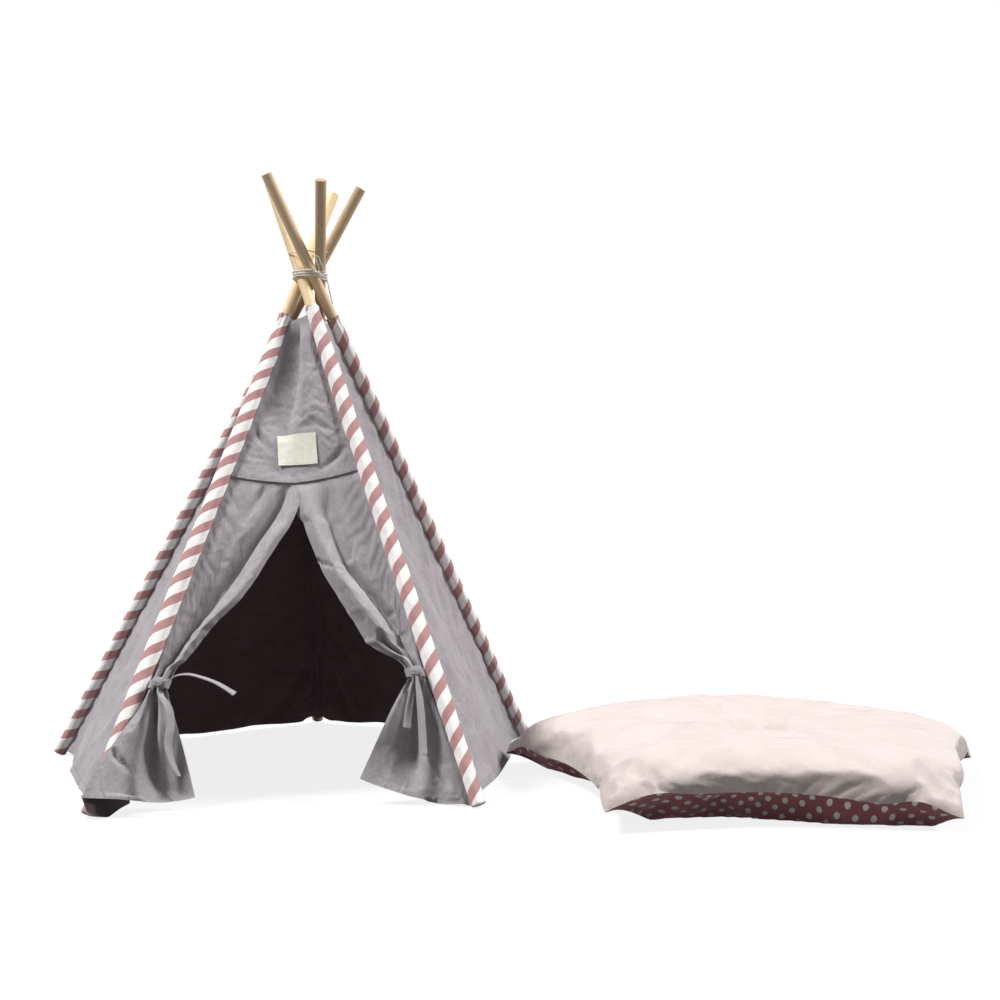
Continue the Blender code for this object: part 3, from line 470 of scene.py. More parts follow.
def pine_wood(name, colour, pole):
    """Pine turned to a rod and sanded, unfinished: pale, satin, with growth lines along it."""
    material, tree, shader = start_material(name, 0.55, IOR=1.5)
    place = add(tree, "ShaderNodeTexCoord").outputs["Object"]
    at_foot = add(tree, "ShaderNodeVectorMath", {0: place, 1: pole.foot}, operation="SUBTRACT")
    axes = [add(tree, "ShaderNodeVectorMath", {0: at_foot, 1: axis}, operation="DOT_PRODUCT").outputs["Value"]
            for axis in (pole.out, pole.side, -pole.down)]
    along = add(tree, "ShaderNodeCombineXYZ", dict(enumerate(axes)))
    # growth rings about 2 mm apart, cut nearly along the grain
    grain = add(tree, "ShaderNodeMapping", {"Vector": along, "Scale": (420, 260, 9),
                                            "Location": (pole.azimuth, 0, pole.azimuth * 0.1)})
    lines = add(tree, "ShaderNodeTexNoise", {"Vector": grain, "Scale": 1.0, "Detail": 4.0,
                                             "Roughness": 0.6, "Distortion": 0.4})
    tint = add(tree, "ShaderNodeValToRGB", {0: lines},
               ramp=[(0.3, shade(colour, 0.62)), (0.46, shade(colour, 0.9)), (0.62, colour),
                     (0.8, shade(colour, 1.12))])
    drawn = add(tree, "ShaderNodeMapping", {"Vector": along, "Scale": (3500, 3500, 60)})
    fibres = add(tree, "ShaderNodeTexNoise", {"Vector": drawn, "Scale": 1.0, "Detail": 2.0})
    finer = add(tree, "ShaderNodeMapRange", {"Value": fibres, "From Min": 0.3, "From Max": 0.7,
                                             "To Min": 0.9, "To Max": 1.05})
    grained = add(tree, "ShaderNodeVectorMath", {0: tint, 1: finer}, operation="MULTIPLY")
    finish_material(tree, shader, grained, fibres, 0.3, 0.0002)
    return material


def plain_cotton(name, colour, spacing):
    """Bleached cotton in a close plain weave: matt, nearly even, a little mottled."""
    material, tree, shader = start_material(name, 0.9, Sheen_Weight=0.1, IOR=1.47)
    place = add(tree, "ShaderNodeUVMap", uv_map="Cloth")
    mottle = add(tree, "ShaderNodeTexNoise", {"Vector": place, "Scale": 150.0, "Detail": 5.0})
    tint = add(tree, "ShaderNodeValToRGB", {0: mottle}, ramp=[(0.3, shade(colour, 0.88)), (0.6, colour)])
    finish_material(tree, shader, tint, weave_height(tree, place, spacing), 0.3, 0.0003)
    return material


def cotton_yarn(name, colour):
    """Spun cotton, twisted: matt with single fibres standing off, mottled in fine specks."""
    material, tree, shader = start_material(name, 0.95, Sheen_Weight=0.2, IOR=1.47)
    place = add(tree, "ShaderNodeTexCoord").outputs["Object"]
    # fibres are 0.02 mm thick; they are drawn as 0.2 mm hair lines
    fuzz = add(tree, "ShaderNodeTexNoise", {"Vector": place, "Scale": 2600.0, "Detail": 3.0})
    tint = add(tree, "ShaderNodeValToRGB", {0: fuzz}, ramp=[(0.3, shade(colour, 0.82)), (0.6, colour)])
    finish_material(tree, shader, tint, fuzz, 0.4, 0.0002)
    return material


def pile_twill(name, colour):
    """Short brushed pile on a bird's-eye twill: soft bright sheen at grazing angles, a faint fine pattern of
    dots where the pile is thin."""
    material, tree, shader = start_material(name, 0.88, Sheen_Weight=0.3, Sheen_Roughness=0.5, IOR=1.47)
    place = add(tree, "ShaderNodeUVMap", uv_map="Cloth")
    # the twill's dots are about 1.5 mm apart; they are drawn 2.6 mm apart so that they show
    turned = add(tree, "ShaderNodeMapping", {"Vector": place, "Rotation": (0, 0, math.radians(32))})
    thin = add(tree, "ShaderNodeTexVoronoi", {"Vector": turned, "Scale": 1 / 0.0026, "Randomness": 0.3},
               voronoi_dimensions="2D")
    tufts = add(tree, "ShaderNodeTexNoise", {"Vector": place, "Scale": 700.0, "Detail": 3.0})
    pile = add(tree, "ShaderNodeMath", {0: thin, 1: tufts}, operation="ADD")
    brushed = add(tree, "ShaderNodeTexNoise", {"Vector": place, "Scale": 22.0, "Detail": 4.0,
                                               "Distortion": 0.8})
    tone = add(tree, "ShaderNodeMath", {0: pile, 1: 0.4, 2: brushed}, operation="MULTIPLY_ADD")
    tint = add(tree, "ShaderNodeValToRGB", {0: tone},
               ramp=[(0.45, shade(colour, 0.84)), (0.8, colour), (1.0, shade(colour, 1.07))])
    finish_material(tree, shader, tint, pile, 0.3, 0.0006)
    return material


def dotted_cotton(name, colour, dot, spacing):
    """Printed cotton: white dots in staggered rows on plum, flat and matt."""
    material, tree, shader = start_material(name, 0.85, Sheen_Weight=0.1, IOR=1.47)
    place = add(tree, "ShaderNodeUVMap", uv_map="Cloth")
    turned = add(tree, "ShaderNodeMapping", {"Vector": place, "Rotation": (0, 0, math.radians(45))})
    cells = add(tree, "ShaderNodeTexVoronoi", {"Vector": turned, "Scale": 1 / spacing, "Randomness": 0.0},
                voronoi_dimensions="2D")
    radius, blur = dot / 2 / spacing, 0.02
    printed = add(tree, "ShaderNodeValToRGB", {0: cells},
                  ramp=[(radius - blur, linear("F1ECEA")), (radius + blur, colour)])
    finish_material(tree, shader, printed, weave_height(tree, place, 0.0012), 0.2, 0.0003)
    return material


def materials():
    """Every material, made once from the colour and size properties."""
    if PARTS.get("materials"):
        return PARTS["materials"]
    scene = bpy.context.scene
    cloth, cushion = scene.bed_cloth, scene.bed_cushion
    dye = {name: tuple(getattr(scene.bed_colours, name)) for name in Colours.__annotations__}
    canvas, lining, thread = dye["canvas"], dye["lining"], cloth.thread
    made = {
        "canvas": canvas_cotton("Grey_cotton_canvas_woven", canvas, thread),
        # inner faces of the cloth, in the canvas darkened as painted shade
        "lining": canvas_cotton("Dark_cotton_lining_woven", lining, thread),
        # a near-black copy of the inner side for the turned corner: painted shade
        "facing": canvas_cotton("Black_cotton_hem_facing_woven", shade(lining, 0.16), thread),
        "ribbon": plain_cotton("Grey_cotton_ribbon_woven", shade(canvas, 0.95), 0.001),
        "stripes": striped_cotton("Rose_striped_percale_woven", dye["rose"], dye["white"], cloth.stripe,
                                  cloth.slant, 0.001),
        "cord": cotton_yarn("White_cotton_cord_twisted", dye["cord"]),
        "grey_thread": cotton_yarn("Grey_sewing_thread_spun", shade(canvas, 1.15)),
        "pale_thread": cotton_yarn("Pale_sewing_thread_spun", dye["label"]),
        "label": plain_cotton("Cream_cotton_label_woven", dye["label"], 0.0009),
        "pile": pile_twill("Pale_pink_brushed_twill", dye["pink"]),
        "dots": dotted_cotton("Plum_dotted_cotton_printed", dye["plum"], cushion.dot, cushion.dot_spacing),
    }
    # each rod's pine is scaled lighter or darker by pole: painted light and shade, the front rods painted
    # lighter and the back and left rods painted darker
    painted_light_by_pole = {"front_left": 1.3, "front_right": 1.28, "right": 1.1, "back": 0.72, "left": 0.85}
    for name, pole in POLE.items():
        rod = shade(dye["pine"], painted_light_by_pole[name])
        made["pine_" + name] = pine_wood("Pine_rod_sanded_" + name, rod, pole)
    PARTS["materials"] = made
    return made


# mesh helpers


def mesh_piece(name, verts, faces, looks, uvs=None, indices=None, sharp=55):
    """A smooth mesh object with its UV map in metres, closed faces turned outwards."""
    mesh = bpy.data.meshes.new(name)
    mesh.from_pydata([tuple(v) for v in verts], [], faces)
    for look in looks:
        mesh.materials.append(look)
    if uvs is not None:
        layer = mesh.uv_layers.new(name="Cloth")
        corner = np.empty(len(mesh.loops), dtype=np.int32)
        mesh.loops.foreach_get("vertex_index", corner)
        layer.data.foreach_set("uv", np.asarray(uvs, dtype=np.float32)[corner].ravel())
    if indices is not None:
        mesh.polygons.foreach_set("material_index", np.asarray(indices, dtype=np.int32))
    bm = bmesh.new()
    bm.from_mesh(mesh)
    bmesh.ops.recalc_face_normals(bm, faces=bm.faces)
    bm.to_mesh(mesh)
    bm.free()
    mesh.shade_smooth()
    mesh.set_sharp_from_angle(angle=math.radians(sharp))
    piece = bpy.data.objects.new(name, mesh)
    bpy.context.scene.collection.objects.link(piece)
    return piece


def grid_normals(grid, towards):
    """Unit normals of a grid of points, on the side that faces towards."""
    normal = np.cross(np.gradient(grid, axis=0), np.gradient(grid, axis=1))
    normal /= np.maximum(np.linalg.norm(normal, axis=2, keepdims=True), 1e-12)
    if (normal.reshape(-1, 3) @ np.array(towards)).mean() < 0:
        normal = -normal
    return normal


def grid_faces(rows, cols, start=0, wrap=False):
    span = cols if wrap else cols - 1
    return [(start + r * cols + c, start + r * cols + (c + 1) % cols,
             start + (r + 1) * cols + (c + 1) % cols, start + (r + 1) * cols + c)
            for r in range(rows - 1) for c in range(span)]


def sheet_piece(name, grid, uv, thickness, looks, towards):
    """Cloth as a closed thin solid; the side that faces towards takes the first look, the other the next."""
    grid = np.asarray(grid, dtype=float)
    rows, cols = grid.shape[:2]
    normal = grid_normals(grid, towards)
    thick = np.asarray(thickness, dtype=float)
    thick = thick[..., None] if thick.ndim == 2 else thick
    outer, inner = grid + normal * thick / 2, grid - normal * thick / 2
    count = rows * cols
    faces = grid_faces(rows, cols) + grid_faces(rows, cols, count)
    indices = [0] * ((rows - 1) * (cols - 1)) + [1] * ((rows - 1) * (cols - 1))
    rim = [(0, c) for c in range(cols)] + [(r, cols - 1) for r in range(1, rows)]
    rim += [(rows - 1, c) for c in range(cols - 2, -1, -1)] + [(r, 0) for r in range(rows - 2, 0, -1)]
    for (r0, c0), (r1, c1) in zip(rim, rim[1:] + rim[:1]):
        a, b = r0 * cols + c0, r1 * cols + c1
        faces.append((a, b, b + count, a + count))
        indices.append(0)
    verts = np.concatenate([outer.reshape(-1, 3), inner.reshape(-1, 3)])
    uvs = np.concatenate([np.asarray(uv).reshape(-1, 2)] * 2)
    return mesh_piece(name, verts, faces, looks, uvs, indices), normal


def carried_frames(path):
    """Side and up directions carried along a path without twisting."""
    path = [Vector(p) for p in path]
    sides, ups = [], []
    side = None
    for k in range(len(path)):
        along = (path[min(k + 1, len(path) - 1)] - path[max(k - 1, 0)]).normalized()
        if side is None:
            side = along.orthogonal().normalized()
        side = (side - along * side.dot(along)).normalized()
        sides.append(side)
        ups.append(along.cross(side))
    return sides, ups


def resample(path, step):
    """Points at even steps along a path."""
    path = np.array([tuple(p) for p in path])
    gaps = np.linalg.norm(np.diff(path, axis=0), axis=1)
    run = np.concatenate([[0], np.cumsum(gaps)])
    count = max(2, int(round(run[-1] / step)))
    places = np.linspace(0, run[-1], count + 1)
    return [Vector(p) for p in np.stack([np.interp(places, run, path[:, k]) for k in range(3)], axis=1)]


def twisted_cord(name, path, diameter, look, step=0.0008, strands=3, lay=0.0052, closed=False):
    """Cord of twisted strands: a lobed section that turns once every lay along the path."""
    path = resample(path, step)
    if closed:
        path = path[:-1]
    sides, ups = carried_frames(path)
    count = 5 * strands
    verts, uvs = [], []
    for k, (p, side, up) in enumerate(zip(path, sides, ups)):
        turn = 2 * math.pi * k * step / lay
        end = min(k, len(path) - 1 - k) * step / diameter
        cap = 1.0 if closed else math.sqrt(min(1.0, 0.25 + end * 2.2))
        for n in range(count):
            a = 2 * math.pi * n / count
            r = diameter / 2 * cap * (0.84 + 0.16 * math.cos(strands * (a - turn)))
            verts.append(p + side * (r * math.cos(a)) + up * (r * math.sin(a)))
            uvs.append((a * diameter / 2, k * step))
    faces = grid_faces(len(path), count, wrap=True)
    if closed:
        last = (len(path) - 1) * count
        best = min(range(count), key=lambda s: sum((verts[last + n] - verts[(n + s) % count]).length
                                                   for n in range(count)))
        faces += [(last + n, last + (n + 1) % count, (n + 1 + best) % count, (n + best) % count)
                  for n in range(count)]
    else:
        faces += [tuple(range(count)), tuple(range(len(verts) - count, len(verts)))]
    return mesh_piece(name, verts, faces, [look], uvs, sharp=180)


def stitch_piece(name, runs, look, width=0.00055, height=0.0003, share=0.68):
    """Single stitches along runs of (point, outward normal), each a small domed lozenge sunk at its ends."""
    pitch = bpy.context.scene.bed_cloth.stitch
    verts, faces = [], []
    for points, normals in runs:
        points, normals = np.array([tuple(p) for p in points]), np.array([tuple(n) for n in normals])
        gaps = np.linalg.norm(np.diff(points, axis=0), axis=1)
        run = np.concatenate([[0], np.cumsum(gaps)])
        for k in range(int(run[-1] / pitch)):
            places = (k + 0.5 + np.array([-0.5, -0.25, 0.0, 0.25, 0.5]) * share) * pitch
            line = np.stack([np.interp(places, run, points[:, n]) for n in range(3)], axis=1)
            up = np.array([np.interp(places[2], run, normals[:, n]) for n in range(3)])
            up /= max(np.linalg.norm(up), 1e-9)
            along = line[-1] - line[0]
            wide = np.cross(along, up)
            wide /= max(np.linalg.norm(wide), 1e-9)
            first = len(verts)
            for p, grow in zip(line, (0.25, 0.85, 1.0, 0.85, 0.25)):
                rise = height * (2 * grow - 0.9)
                verts += [p - wide * width / 2 * grow - up * 0.0002, p + up * rise - wide * width / 4 * grow,
                          p + up * rise + wide * width / 4 * grow, p + wide * width / 2 * grow - up * 0.0002]
            for a in range(first, first + 16, 4):
                faces += [(a + k, a + (k + 1) % 4, a + 4 + (k + 1) % 4, a + 4 + k) for k in range(4)]
            faces += [tuple(range(first, first + 4)), tuple(range(first + 16, first + 20))]
    uvs = [(v[0], v[2]) for v in verts]
    return mesh_piece(name, verts, faces, [look], uvs, sharp=180)


# cloth forms


def crumple(x, y, seed):
    """Height of loose cotton's soft wrinkles at x, y metres: long drag folds, creases and fine crumpling."""
    soft = noise.noise(Vector((x * 13 + y * 5, y * 6.5 - x * 3, seed)))
    crease = abs(noise.noise(Vector((x * 27 - y * 11, y * 15 + x * 9, seed + 5.3))))
    second = abs(noise.noise(Vector((x * 38 + y * 22, y * 24 - x * 20, seed + 8.1))))
    fine = noise.fractal(Vector((x * 85, y * 85, seed + 9.7)), 0.9, 2.1, 2)
    return soft * 0.9 + (0.22 - crease) * 1.1 + (0.2 - second) * 0.55 + fine * 0.14


def along_fold(line, z):
    """Place, height and half widths of a fold line at height z, all in the units of the fold tables."""
    z *= 1000
    if z >= line[0][0] or z <= line[-1][0]:
        return None
    for (z0, *first), (z1, *second) in zip(line, line[1:]):
        if z >= z1:
            t = (z0 - z) / (z0 - z1)
            return [lerp(a, b, t) for a, b in zip(first, second)]
    return None


def folds_at(lines, share, z):
    """Sum of the sewn-in and hanging folds at a share of the width and a height."""
    total = 0.0
    for line in lines:
        here = along_fold(line, z)
        if here:
            place, height, before, after = here
            beside = share * 100 - place
            total += height * math.exp(-(beside / (before if beside < 0 else after)) ** 2)
    return total / 1000


# light woven cotton, held where its points' weight is 1
CLOTH_NATURE = {"quality": 6, "mass": 0.2, "tension_stiffness": 20, "compression_stiffness": 20,
                "shear_stiffness": 8, "bending_stiffness": 0.6, "vertex_group_mass": "held",
                "pin_stiffness": 1.0}


def settle(jobs, frames=18, pressure=0.0, gravity=0.3, cap=0.01):
    """Lets cloth come to rest. Each job is its points, its faces, how firmly each point is held (0 to 1) and
    the share by which it is cut larger than its place, so that it buckles into wrinkles of its own; cap is
    the furthest that a point may move."""
    scene = bpy.context.scene
    pieces = []
    for points, faces, held, ease in jobs:
        mesh = bpy.data.meshes.new("settling")
        mesh.from_pydata(points.reshape(-1, 3).tolist(), [], faces)
        piece = bpy.data.objects.new("settling", mesh)
        scene.collection.objects.link(piece)
        group = piece.vertex_groups.new(name="held")
        firm = np.round(np.asarray(held).ravel(), 1)
        for weight in np.unique(firm[firm > 0]):
            group.add(np.flatnonzero(firm == weight).tolist(), float(weight), "REPLACE")
        cloth = piece.modifiers.new("settling", "CLOTH").settings
        for key, value in CLOTH_NATURE.items():
            setattr(cloth, key, value)
        cloth.shrink_min = -ease
        cloth.effector_weights.gravity = gravity
        if pressure:
            cloth.use_pressure = True
            cloth.uniform_pressure_force = pressure
        piece.modifiers[0].collision_settings.use_collision = False
        piece.modifiers[0].point_cache.frame_end = frames
        pieces.append(piece)
    for number in range(1, frames + 1):
        scene.frame_set(number)
    graph = bpy.context.evaluated_depsgraph_get()
    settled = []
    for piece, (points, *_) in zip(pieces, jobs):
        found = np.empty(points.size, dtype=np.float32)
        piece.evaluated_get(graph).data.vertices.foreach_get("co", found)
        moved = found.reshape(points.shape).astype(float) - points
        far = np.maximum(np.linalg.norm(moved, axis=-1, keepdims=True), 1e-12)
        settled.append(points + moved * np.minimum(1.0, cap / far))
        bpy.data.objects.remove(piece)
    scene.frame_set(1)
    return settled


def refine(grid, times):
    """The grid on smooth curves through its own points, times as fine both ways."""
    for axis in (0, 1):
        grid = np.moveaxis(grid, axis, 0)
        longer = np.concatenate([2 * grid[:1] - grid[1:2], grid, 2 * grid[-1:] - grid[-2:-1]])
        a, b, c, d = longer[:-3], longer[1:-2], longer[2:-1], longer[3:]
        lines = []
        for k in range(times):
            t = k / times
            lines.append(0.5 * (2 * b + (c - a) * t + (2 * a - 5 * b + 4 * c - d) * t ** 2
                                + (3 * b - a - 3 * c + d) * t ** 3))
        fine = np.stack(lines, axis=1).reshape(-1, *grid.shape[1:])
        grid = np.moveaxis(np.concatenate([fine, grid[-1:]]), 0, axis)
    return grid


def seam_height(s):
    """Height of the front's level seam, a little drawn down where the two curtains hang."""
    sag = 0.55 * 4 * s * (1 - s) + 0.45 * (1 - abs(2 * s - 1))
    return lerp(FRONT_SEAM_LEFT + 0.0045, FRONT_SEAM_RIGHT + 0.001, s) - FRONT_SEAM_SAG * sag


def round_sleeve(pole, other, z, share, lift):
    """A point of cloth that turns round the inner side of a sleeve: share 0 where it comes from the other
    pole, 1 at the sleeve's innermost line."""
    d = pole.depth_at(z)
    here = pole.at(d)
    towards = other.at(other.depth_at(z)) - here
    start = math.atan2(towards.dot(pole.out), towards.dot(pole.side))
    angle = start + share * ((math.pi / 2 - start) % (2 * math.pi) - math.pi)
    a, b = pole.sleeve_half(d)
    radius = a * b / math.hypot(b * math.cos(angle), a * math.sin(angle)) + lift
    return here + (pole.side * math.cos(angle) + pole.out * math.sin(angle)) * radius


# cloth that is turned round a sleeve: how wide it is and how far its raw edge stands off
TURN_WIDTH = 0.0125
TURN_LIFT = 0.0018


def cloth_between(a, b, top, bottom, rows, cols, relief, gap=SEAM_GAP, turns=0, tuck=(0.0, 0.0)):
    """Grid between two poles' sleeves, with turns columns more round each sleeve's inner side, and its UV;
    tuck is how far round that side the cloth leaves each sleeve."""
    grid, uv = [], []
    run = 0.0
    before = None
    for r in range(rows + 1):
        v = r / rows
        line, places = [], []
        for c in range(cols + 1):
            s = c / cols
            z = lerp(top(s), bottom(s), v)
            left, right = a.edge(b, z, gap), b.edge(a, z, gap)
            across = right - left
            out = across.cross(b.down + a.down).normalized()
            if out.dot((left + right) / 2 - TENT - Vector((0, 0, z))) < 0:
                out = -out
            x = (s - 0.5) * across.length
            if max(tuck):
                left, right = round_sleeve(a, b, z, tuck[0], gap), round_sleeve(b, a, z, tuck[1], gap)
            line.append(left.lerp(right, s) + out * relief(s, v, x, z))
            places.append(x)
        for k in range(1, turns + 1):
            lift = gap + TURN_LIFT * (k == turns)
            line.insert(0, round_sleeve(a, b, lerp(top(0), bottom(0), v), lerp(tuck[0], 1, k / turns), lift))
            line.append(round_sleeve(b, a, lerp(top(1), bottom(1), v), lerp(tuck[1], 1, k / turns), lift))
            places.insert(0, places[0] - TURN_WIDTH / turns)
            places.append(places[-1] + TURN_WIDTH / turns)
        middle = line[len(line) // 2]
        run += (middle - before).length if before else 0.0
        before = middle
        grid.append(line)
        uv.append([(x, -run) for x in places])
    return np.array([[tuple(p) for p in line] for line in grid]), np.array(uv)


def panel_relief(phase, bias, seed, lines=(), fan=0.0, tuck=(0.0, 0.0)):
    """Stand-off of a tent panel: flare at the hem, hanging folds, one slanting fold, puckers and wrinkles;
    fan is the height of creases that spread from the first pole's foot. It falls off towards a tucked end."""
    wrinkle = bpy.context.scene.bed_cloth.wrinkle

    def relief(s, v, x, z):
        free = math.sin(math.pi * s)
        hem = HEM_FLARE * v ** 4 * free
        folds = FOLD_DEPTH * v ** 1.5 * free * math.sin(2 * math.pi * FOLDS * s + phase)
        slant = BIAS_FOLD * free * math.exp(-((s - bias - 0.5 * (1 - v)) / 0.16) ** 2) * v * (1 - v ** 3)
        ease = smooth(min(s, 1 - s) * 12) * smooth(v * 8)
        edge = min(s, 1 - s) / 0.06
        gather = math.sin(z / 0.0031 + 3 * noise.noise(Vector((z * 30, seed, s))))
        pucker = 0.0007 * math.exp(-edge ** 2) * gather
        crisp = crumple(x, z, seed) * wrinkle * (0.45 + 0.75 * v) * ease
        spread = fan * foot_creases(s, z) * ease
        long_folds = folds_at(lines, s, z) * ease
        total = hem + folds - 1.6 * slant + pucker * smooth(edge) + crisp + spread + long_folds
        return total * (smooth(s * 5) if tuck[0] else 1.0) * (smooth((1 - s) * 4) if tuck[1] else 1.0)
    return relief


def foot_creases(s, z):
    """Creases that spread from a panel's first lower corner, at a share of its width and a height."""
    away = math.hypot(s * 0.35, z - HEM_HEIGHT)
    turn = math.atan2(z - HEM_HEIGHT, s * 0.35 + 1e-6)
    return smooth(away / 0.02) * (1 - smooth((away - 0.05) / 0.09)) * math.sin(turn * 13 + 0.8)


def hem_thickness(rows, cols, step, hem):
    """Cloth thickness with a doubled hem along the last rows."""
    thick = np.full((rows, cols), CLOTH * 0.8)
    rows_in = max(1, int(hem / step))
    thick[-rows_in:, :] += HEM_FOLD
    return thick


def stitch_run(points, normals, lift):
    """A line of stitches along points of a cloth's middle, lifted onto its outer face."""
    outwards = [Vector(n) for n in normals]
    return [Vector(p) + n * lift for p, n in zip(points, outwards)], outwards


# first and second pole, phase of the hanging folds, place of the slanting fold and the pole that carries it
PANELS = {
    "panel_left": ("left", "front_left", 0.4, 0.3, "left"),
    "panel_right": ("front_right", "right", 2.2, 0.1, "front_right"),
    "panel_back_right": ("right", "back", 1.1, 0.35, "right"),
    "panel_back_left": ("back", "left", 3.0, 0.35, "back"),
}
# folds by height: height in mm, place in percent of the width, stand-off in mm, and half width before and
# after it in percent
PANEL_FOLDS = {
    "panel_left": [
        [(500, 35, 0, 30, 30), (300, 40, 3, 25, 30), (120, 45, 5, 25, 30), (8, 45, 3, 30, 30)],
        [(110, 80, 0, 6, 5), (70, 76, -3, 6, 5), (30, 70, -2, 7, 7), (8, 66, 0, 8, 8)],
    ],
    "panel_right": [
        [(520, 10, 0, 6, 20), (430, 11, 4, 6, 14), (330, 13, 9, 8, 16), (253, 20, 12, 12, 20),
         (180, 30, 13, 18, 22), (108, 34, 12, 20, 24), (50, 36, 8, 22, 24), (8, 40, 3, 30, 30)],
        [(520, 62, -2, 20, 16), (400, 66, -5, 20, 16), (300, 70, -8, 20, 14), (200, 76, -8, 18, 12),
         (110, 80, -6, 16, 10), (40, 84, 0, 10, 10)],
        [(210, 40, 0, 5, 5), (190, 46, -2.6, 3.5, 3.5), (120, 52, -3, 3.5, 3.5), (80, 56, 0, 4, 4)],
    ],
    "panel_back_right": [],
    "panel_back_left": [
        [(160, 95, 0, 5, 5), (110, 94, 12, 8, 5), (60, 93, 22, 9, 5), (8, 93, 18, 10, 6)],
    ],
}
# height of the creases from a panel's foot, and how far round the sleeve each end of it is tucked
PANEL_FANS = {"panel_right": 0.0026}
PANEL_TUCKS = {"panel_left": (0.8, 0.0), "panel_right": (0.0, 0.8)}


def build_panels():
    looks, cloth = materials(), bpy.context.scene.bed_cloth
    rows, cols, turns, finer = 74, 46, 4, 2
    jobs, layouts = [], []
    for seed, (name, (first, second, phase, bias, _)) in enumerate(PANELS.items()):
        a, b = POLE[first], POLE[second]
        top = min(a.at(a.bare).z, b.at(b.bare).z) - TOP_GAP
        tuck = PANEL_TUCKS.get(name, (0.0, 0.0))
        relief = panel_relief(phase, bias, seed * 3.7, PANEL_FOLDS[name], PANEL_FANS.get(name, 0.0), tuck)
        grid, uv = cloth_between(a, b, lambda s: top, lambda s: HEM_HEIGHT, rows, cols, relief, gap=0.0005,
                                 turns=turns, tuck=tuck)
        held = np.full(grid.shape[:2], 0.1)
        held[:2] = held[:, :turns + 1] = held[:, -turns - 1:] = 1.0
        jobs.append((grid, grid_faces(*grid.shape[:2]), held, 0.012))
        layouts.append((uv, top))
    for (name, (first, second, _, _, owner)), grid, (uv, top) in zip(PANELS.items(), settle(jobs), layouts):
        grid, uv = refine(grid, finer), refine(uv, finer)
        a, b, own = POLE[first], POLE[second], POLE[owner]
        other = b if own is a else a
        step = (top - HEM_HEIGHT) / rows / finer
        thick = hem_thickness(*grid.shape[:2], step, cloth.hem)
        piece, normal = sheet_piece(name + "_cloth", grid, uv, thick, [looks["canvas"], looks["lining"]],
                                    (a.foot + b.foot) / 2 - TENT)
        hang_on(piece, own, other, [name])
        row = len(grid) - 1 - int(cloth.hem / step)
        inside = slice(turns * finer, -turns * finer)
        hem = stitch_run(grid[row, inside], normal[row, inside], thick[row + 1, 0] / 2)
        stitches = stitch_piece(name + "_hem_stitches", [hem], looks["grey_thread"])
        hang_on(stitches, own, other)


UPPER_FOLDS = [
    [(590, 49, -6, 40, 5), (543, 49, -8.5, 40, 4.5), (512, 49, -10.5, 38, 4), (462, 46.5, -10.5, 36, 4),
     (435, 43, -8, 34, 4.5), (412, 40, -3.6, 30, 5), (390, 37, 0, 20, 7)],
    [(590, 86, 0, 30, 14), (500, 84, 4, 30, 15), (430, 84, 5, 30, 15), (400, 84, 3.5, 26, 15),
     (352, 84, 0, 20, 15)],
    [(590, 62, 1, 5, 30), (512, 63, 3, 5, 30), (462, 60, 4, 6, 30), (426, 56, 3.6, 7, 30),
     (395, 52, 2, 8, 30), (365, 50, 0, 10, 30)],
    [(416, 2, 0, 5, 5), (400, 10, -3.4, 4.5, 4.5), (388, 20, -2.2, 4.5, 4.5), (376, 28, 0, 5, 5)],
    [(390, 97, 0, 4, 5), (374, 85, -3.4, 4, 5), (362, 74, -2.4, 4, 6), (352, 66, 0, 5, 6)],
]


def front_plane(x, z, off=0.0):
    """A point of the front's plane at sideways place x of the model's frame and height z, standing off."""
    left, right = FRONT
    a, b = left.edge(right, z), right.edge(left, z)
    across = b - a
    out = across.cross(left.down + right.down).normalized()
    if out.y > 0:
        out = -out
    return a + across * ((x - a.x) / across.x) + out * off


def upper_top():
    """Height of the upper panel's top edge at the left pole."""
    return min(pole.at(pole.bare).z for pole in FRONT) - TOP_GAP


def upper_folds(s, z):
    """Stand-off of the upper panel's long folds at a share of its width and a height; the label follows."""
    v = (upper_top() - z) / (upper_top() - seam_height(s))
    ease = smooth(min(s, 1 - s) * 9) * smooth(v * 8) * smooth((1 - v) * 9)
    return 1.15 * folds_at(UPPER_FOLDS, s, z) * ease


def build_front_upper():
    looks, cloth = materials(), bpy.context.scene.bed_cloth
    left, right = FRONT
    top = upper_top()

    def off_label(s, z):
        a, b = left.edge(right, z).x, right.edge(left, z).x
        beside = abs(lerp(a, b, s) - LABEL_PLACE[0] - TENT.x) - LABEL[0] / 2
        above = abs(z - LABEL_PLACE[1]) - LABEL[1] / 2
        return smooth((max(beside, above) - 0.002) / 0.012)

    def relief(s, v, x, z):
        ease = smooth(min(s, 1 - s) * 9) * smooth(v * 8) * smooth((1 - v) * 9) * off_label(s, z)
        near = smooth((v - 0.9) / 0.1)
        pucker = 0.0008 * near * noise.noise(Vector((x * 190, 0.4, 2.0))) * smooth(min(s, 1 - s) * 9)
        edge = 0.0007 * near * smooth(min(s, 1 - s) * 16)
        return edge + pucker + crumple(x, z, 21.0) * cloth.wrinkle * 0.9 * ease + upper_folds(s, z)

    rows, cols, finer = 54, 48, 2
    grid, uv = cloth_between(left, right, lambda s: top + 0.01 * s, lambda s: seam_height(s) - 0.0007, rows,
                             cols, relief, gap=0.0)
    held = np.full(grid.shape[:2], 0.2)
    held[:2] = held[-2:] = held[:, 0] = held[:, -1] = 1.0
    beside = [[off_label(c / cols, p[2]) for c, p in enumerate(line)] for line in grid]
    held[np.array(beside) < 0.3] = 1.0
    grid = refine(settle([(grid, grid_faces(*grid.shape[:2]), held, 0.005)])[0], finer)
    thick = np.full(grid.shape[:2], CLOTH * 0.8)
    thick[-5:] = CLOTH
    piece, _ = sheet_piece("panel_front_upper_cloth", grid, refine(uv, finer), thick,
                           [looks["canvas"], looks["lining"]], (0.0, -1.0, 0.3))
    hang_on(piece, left, right, ["panel_front_upper"])


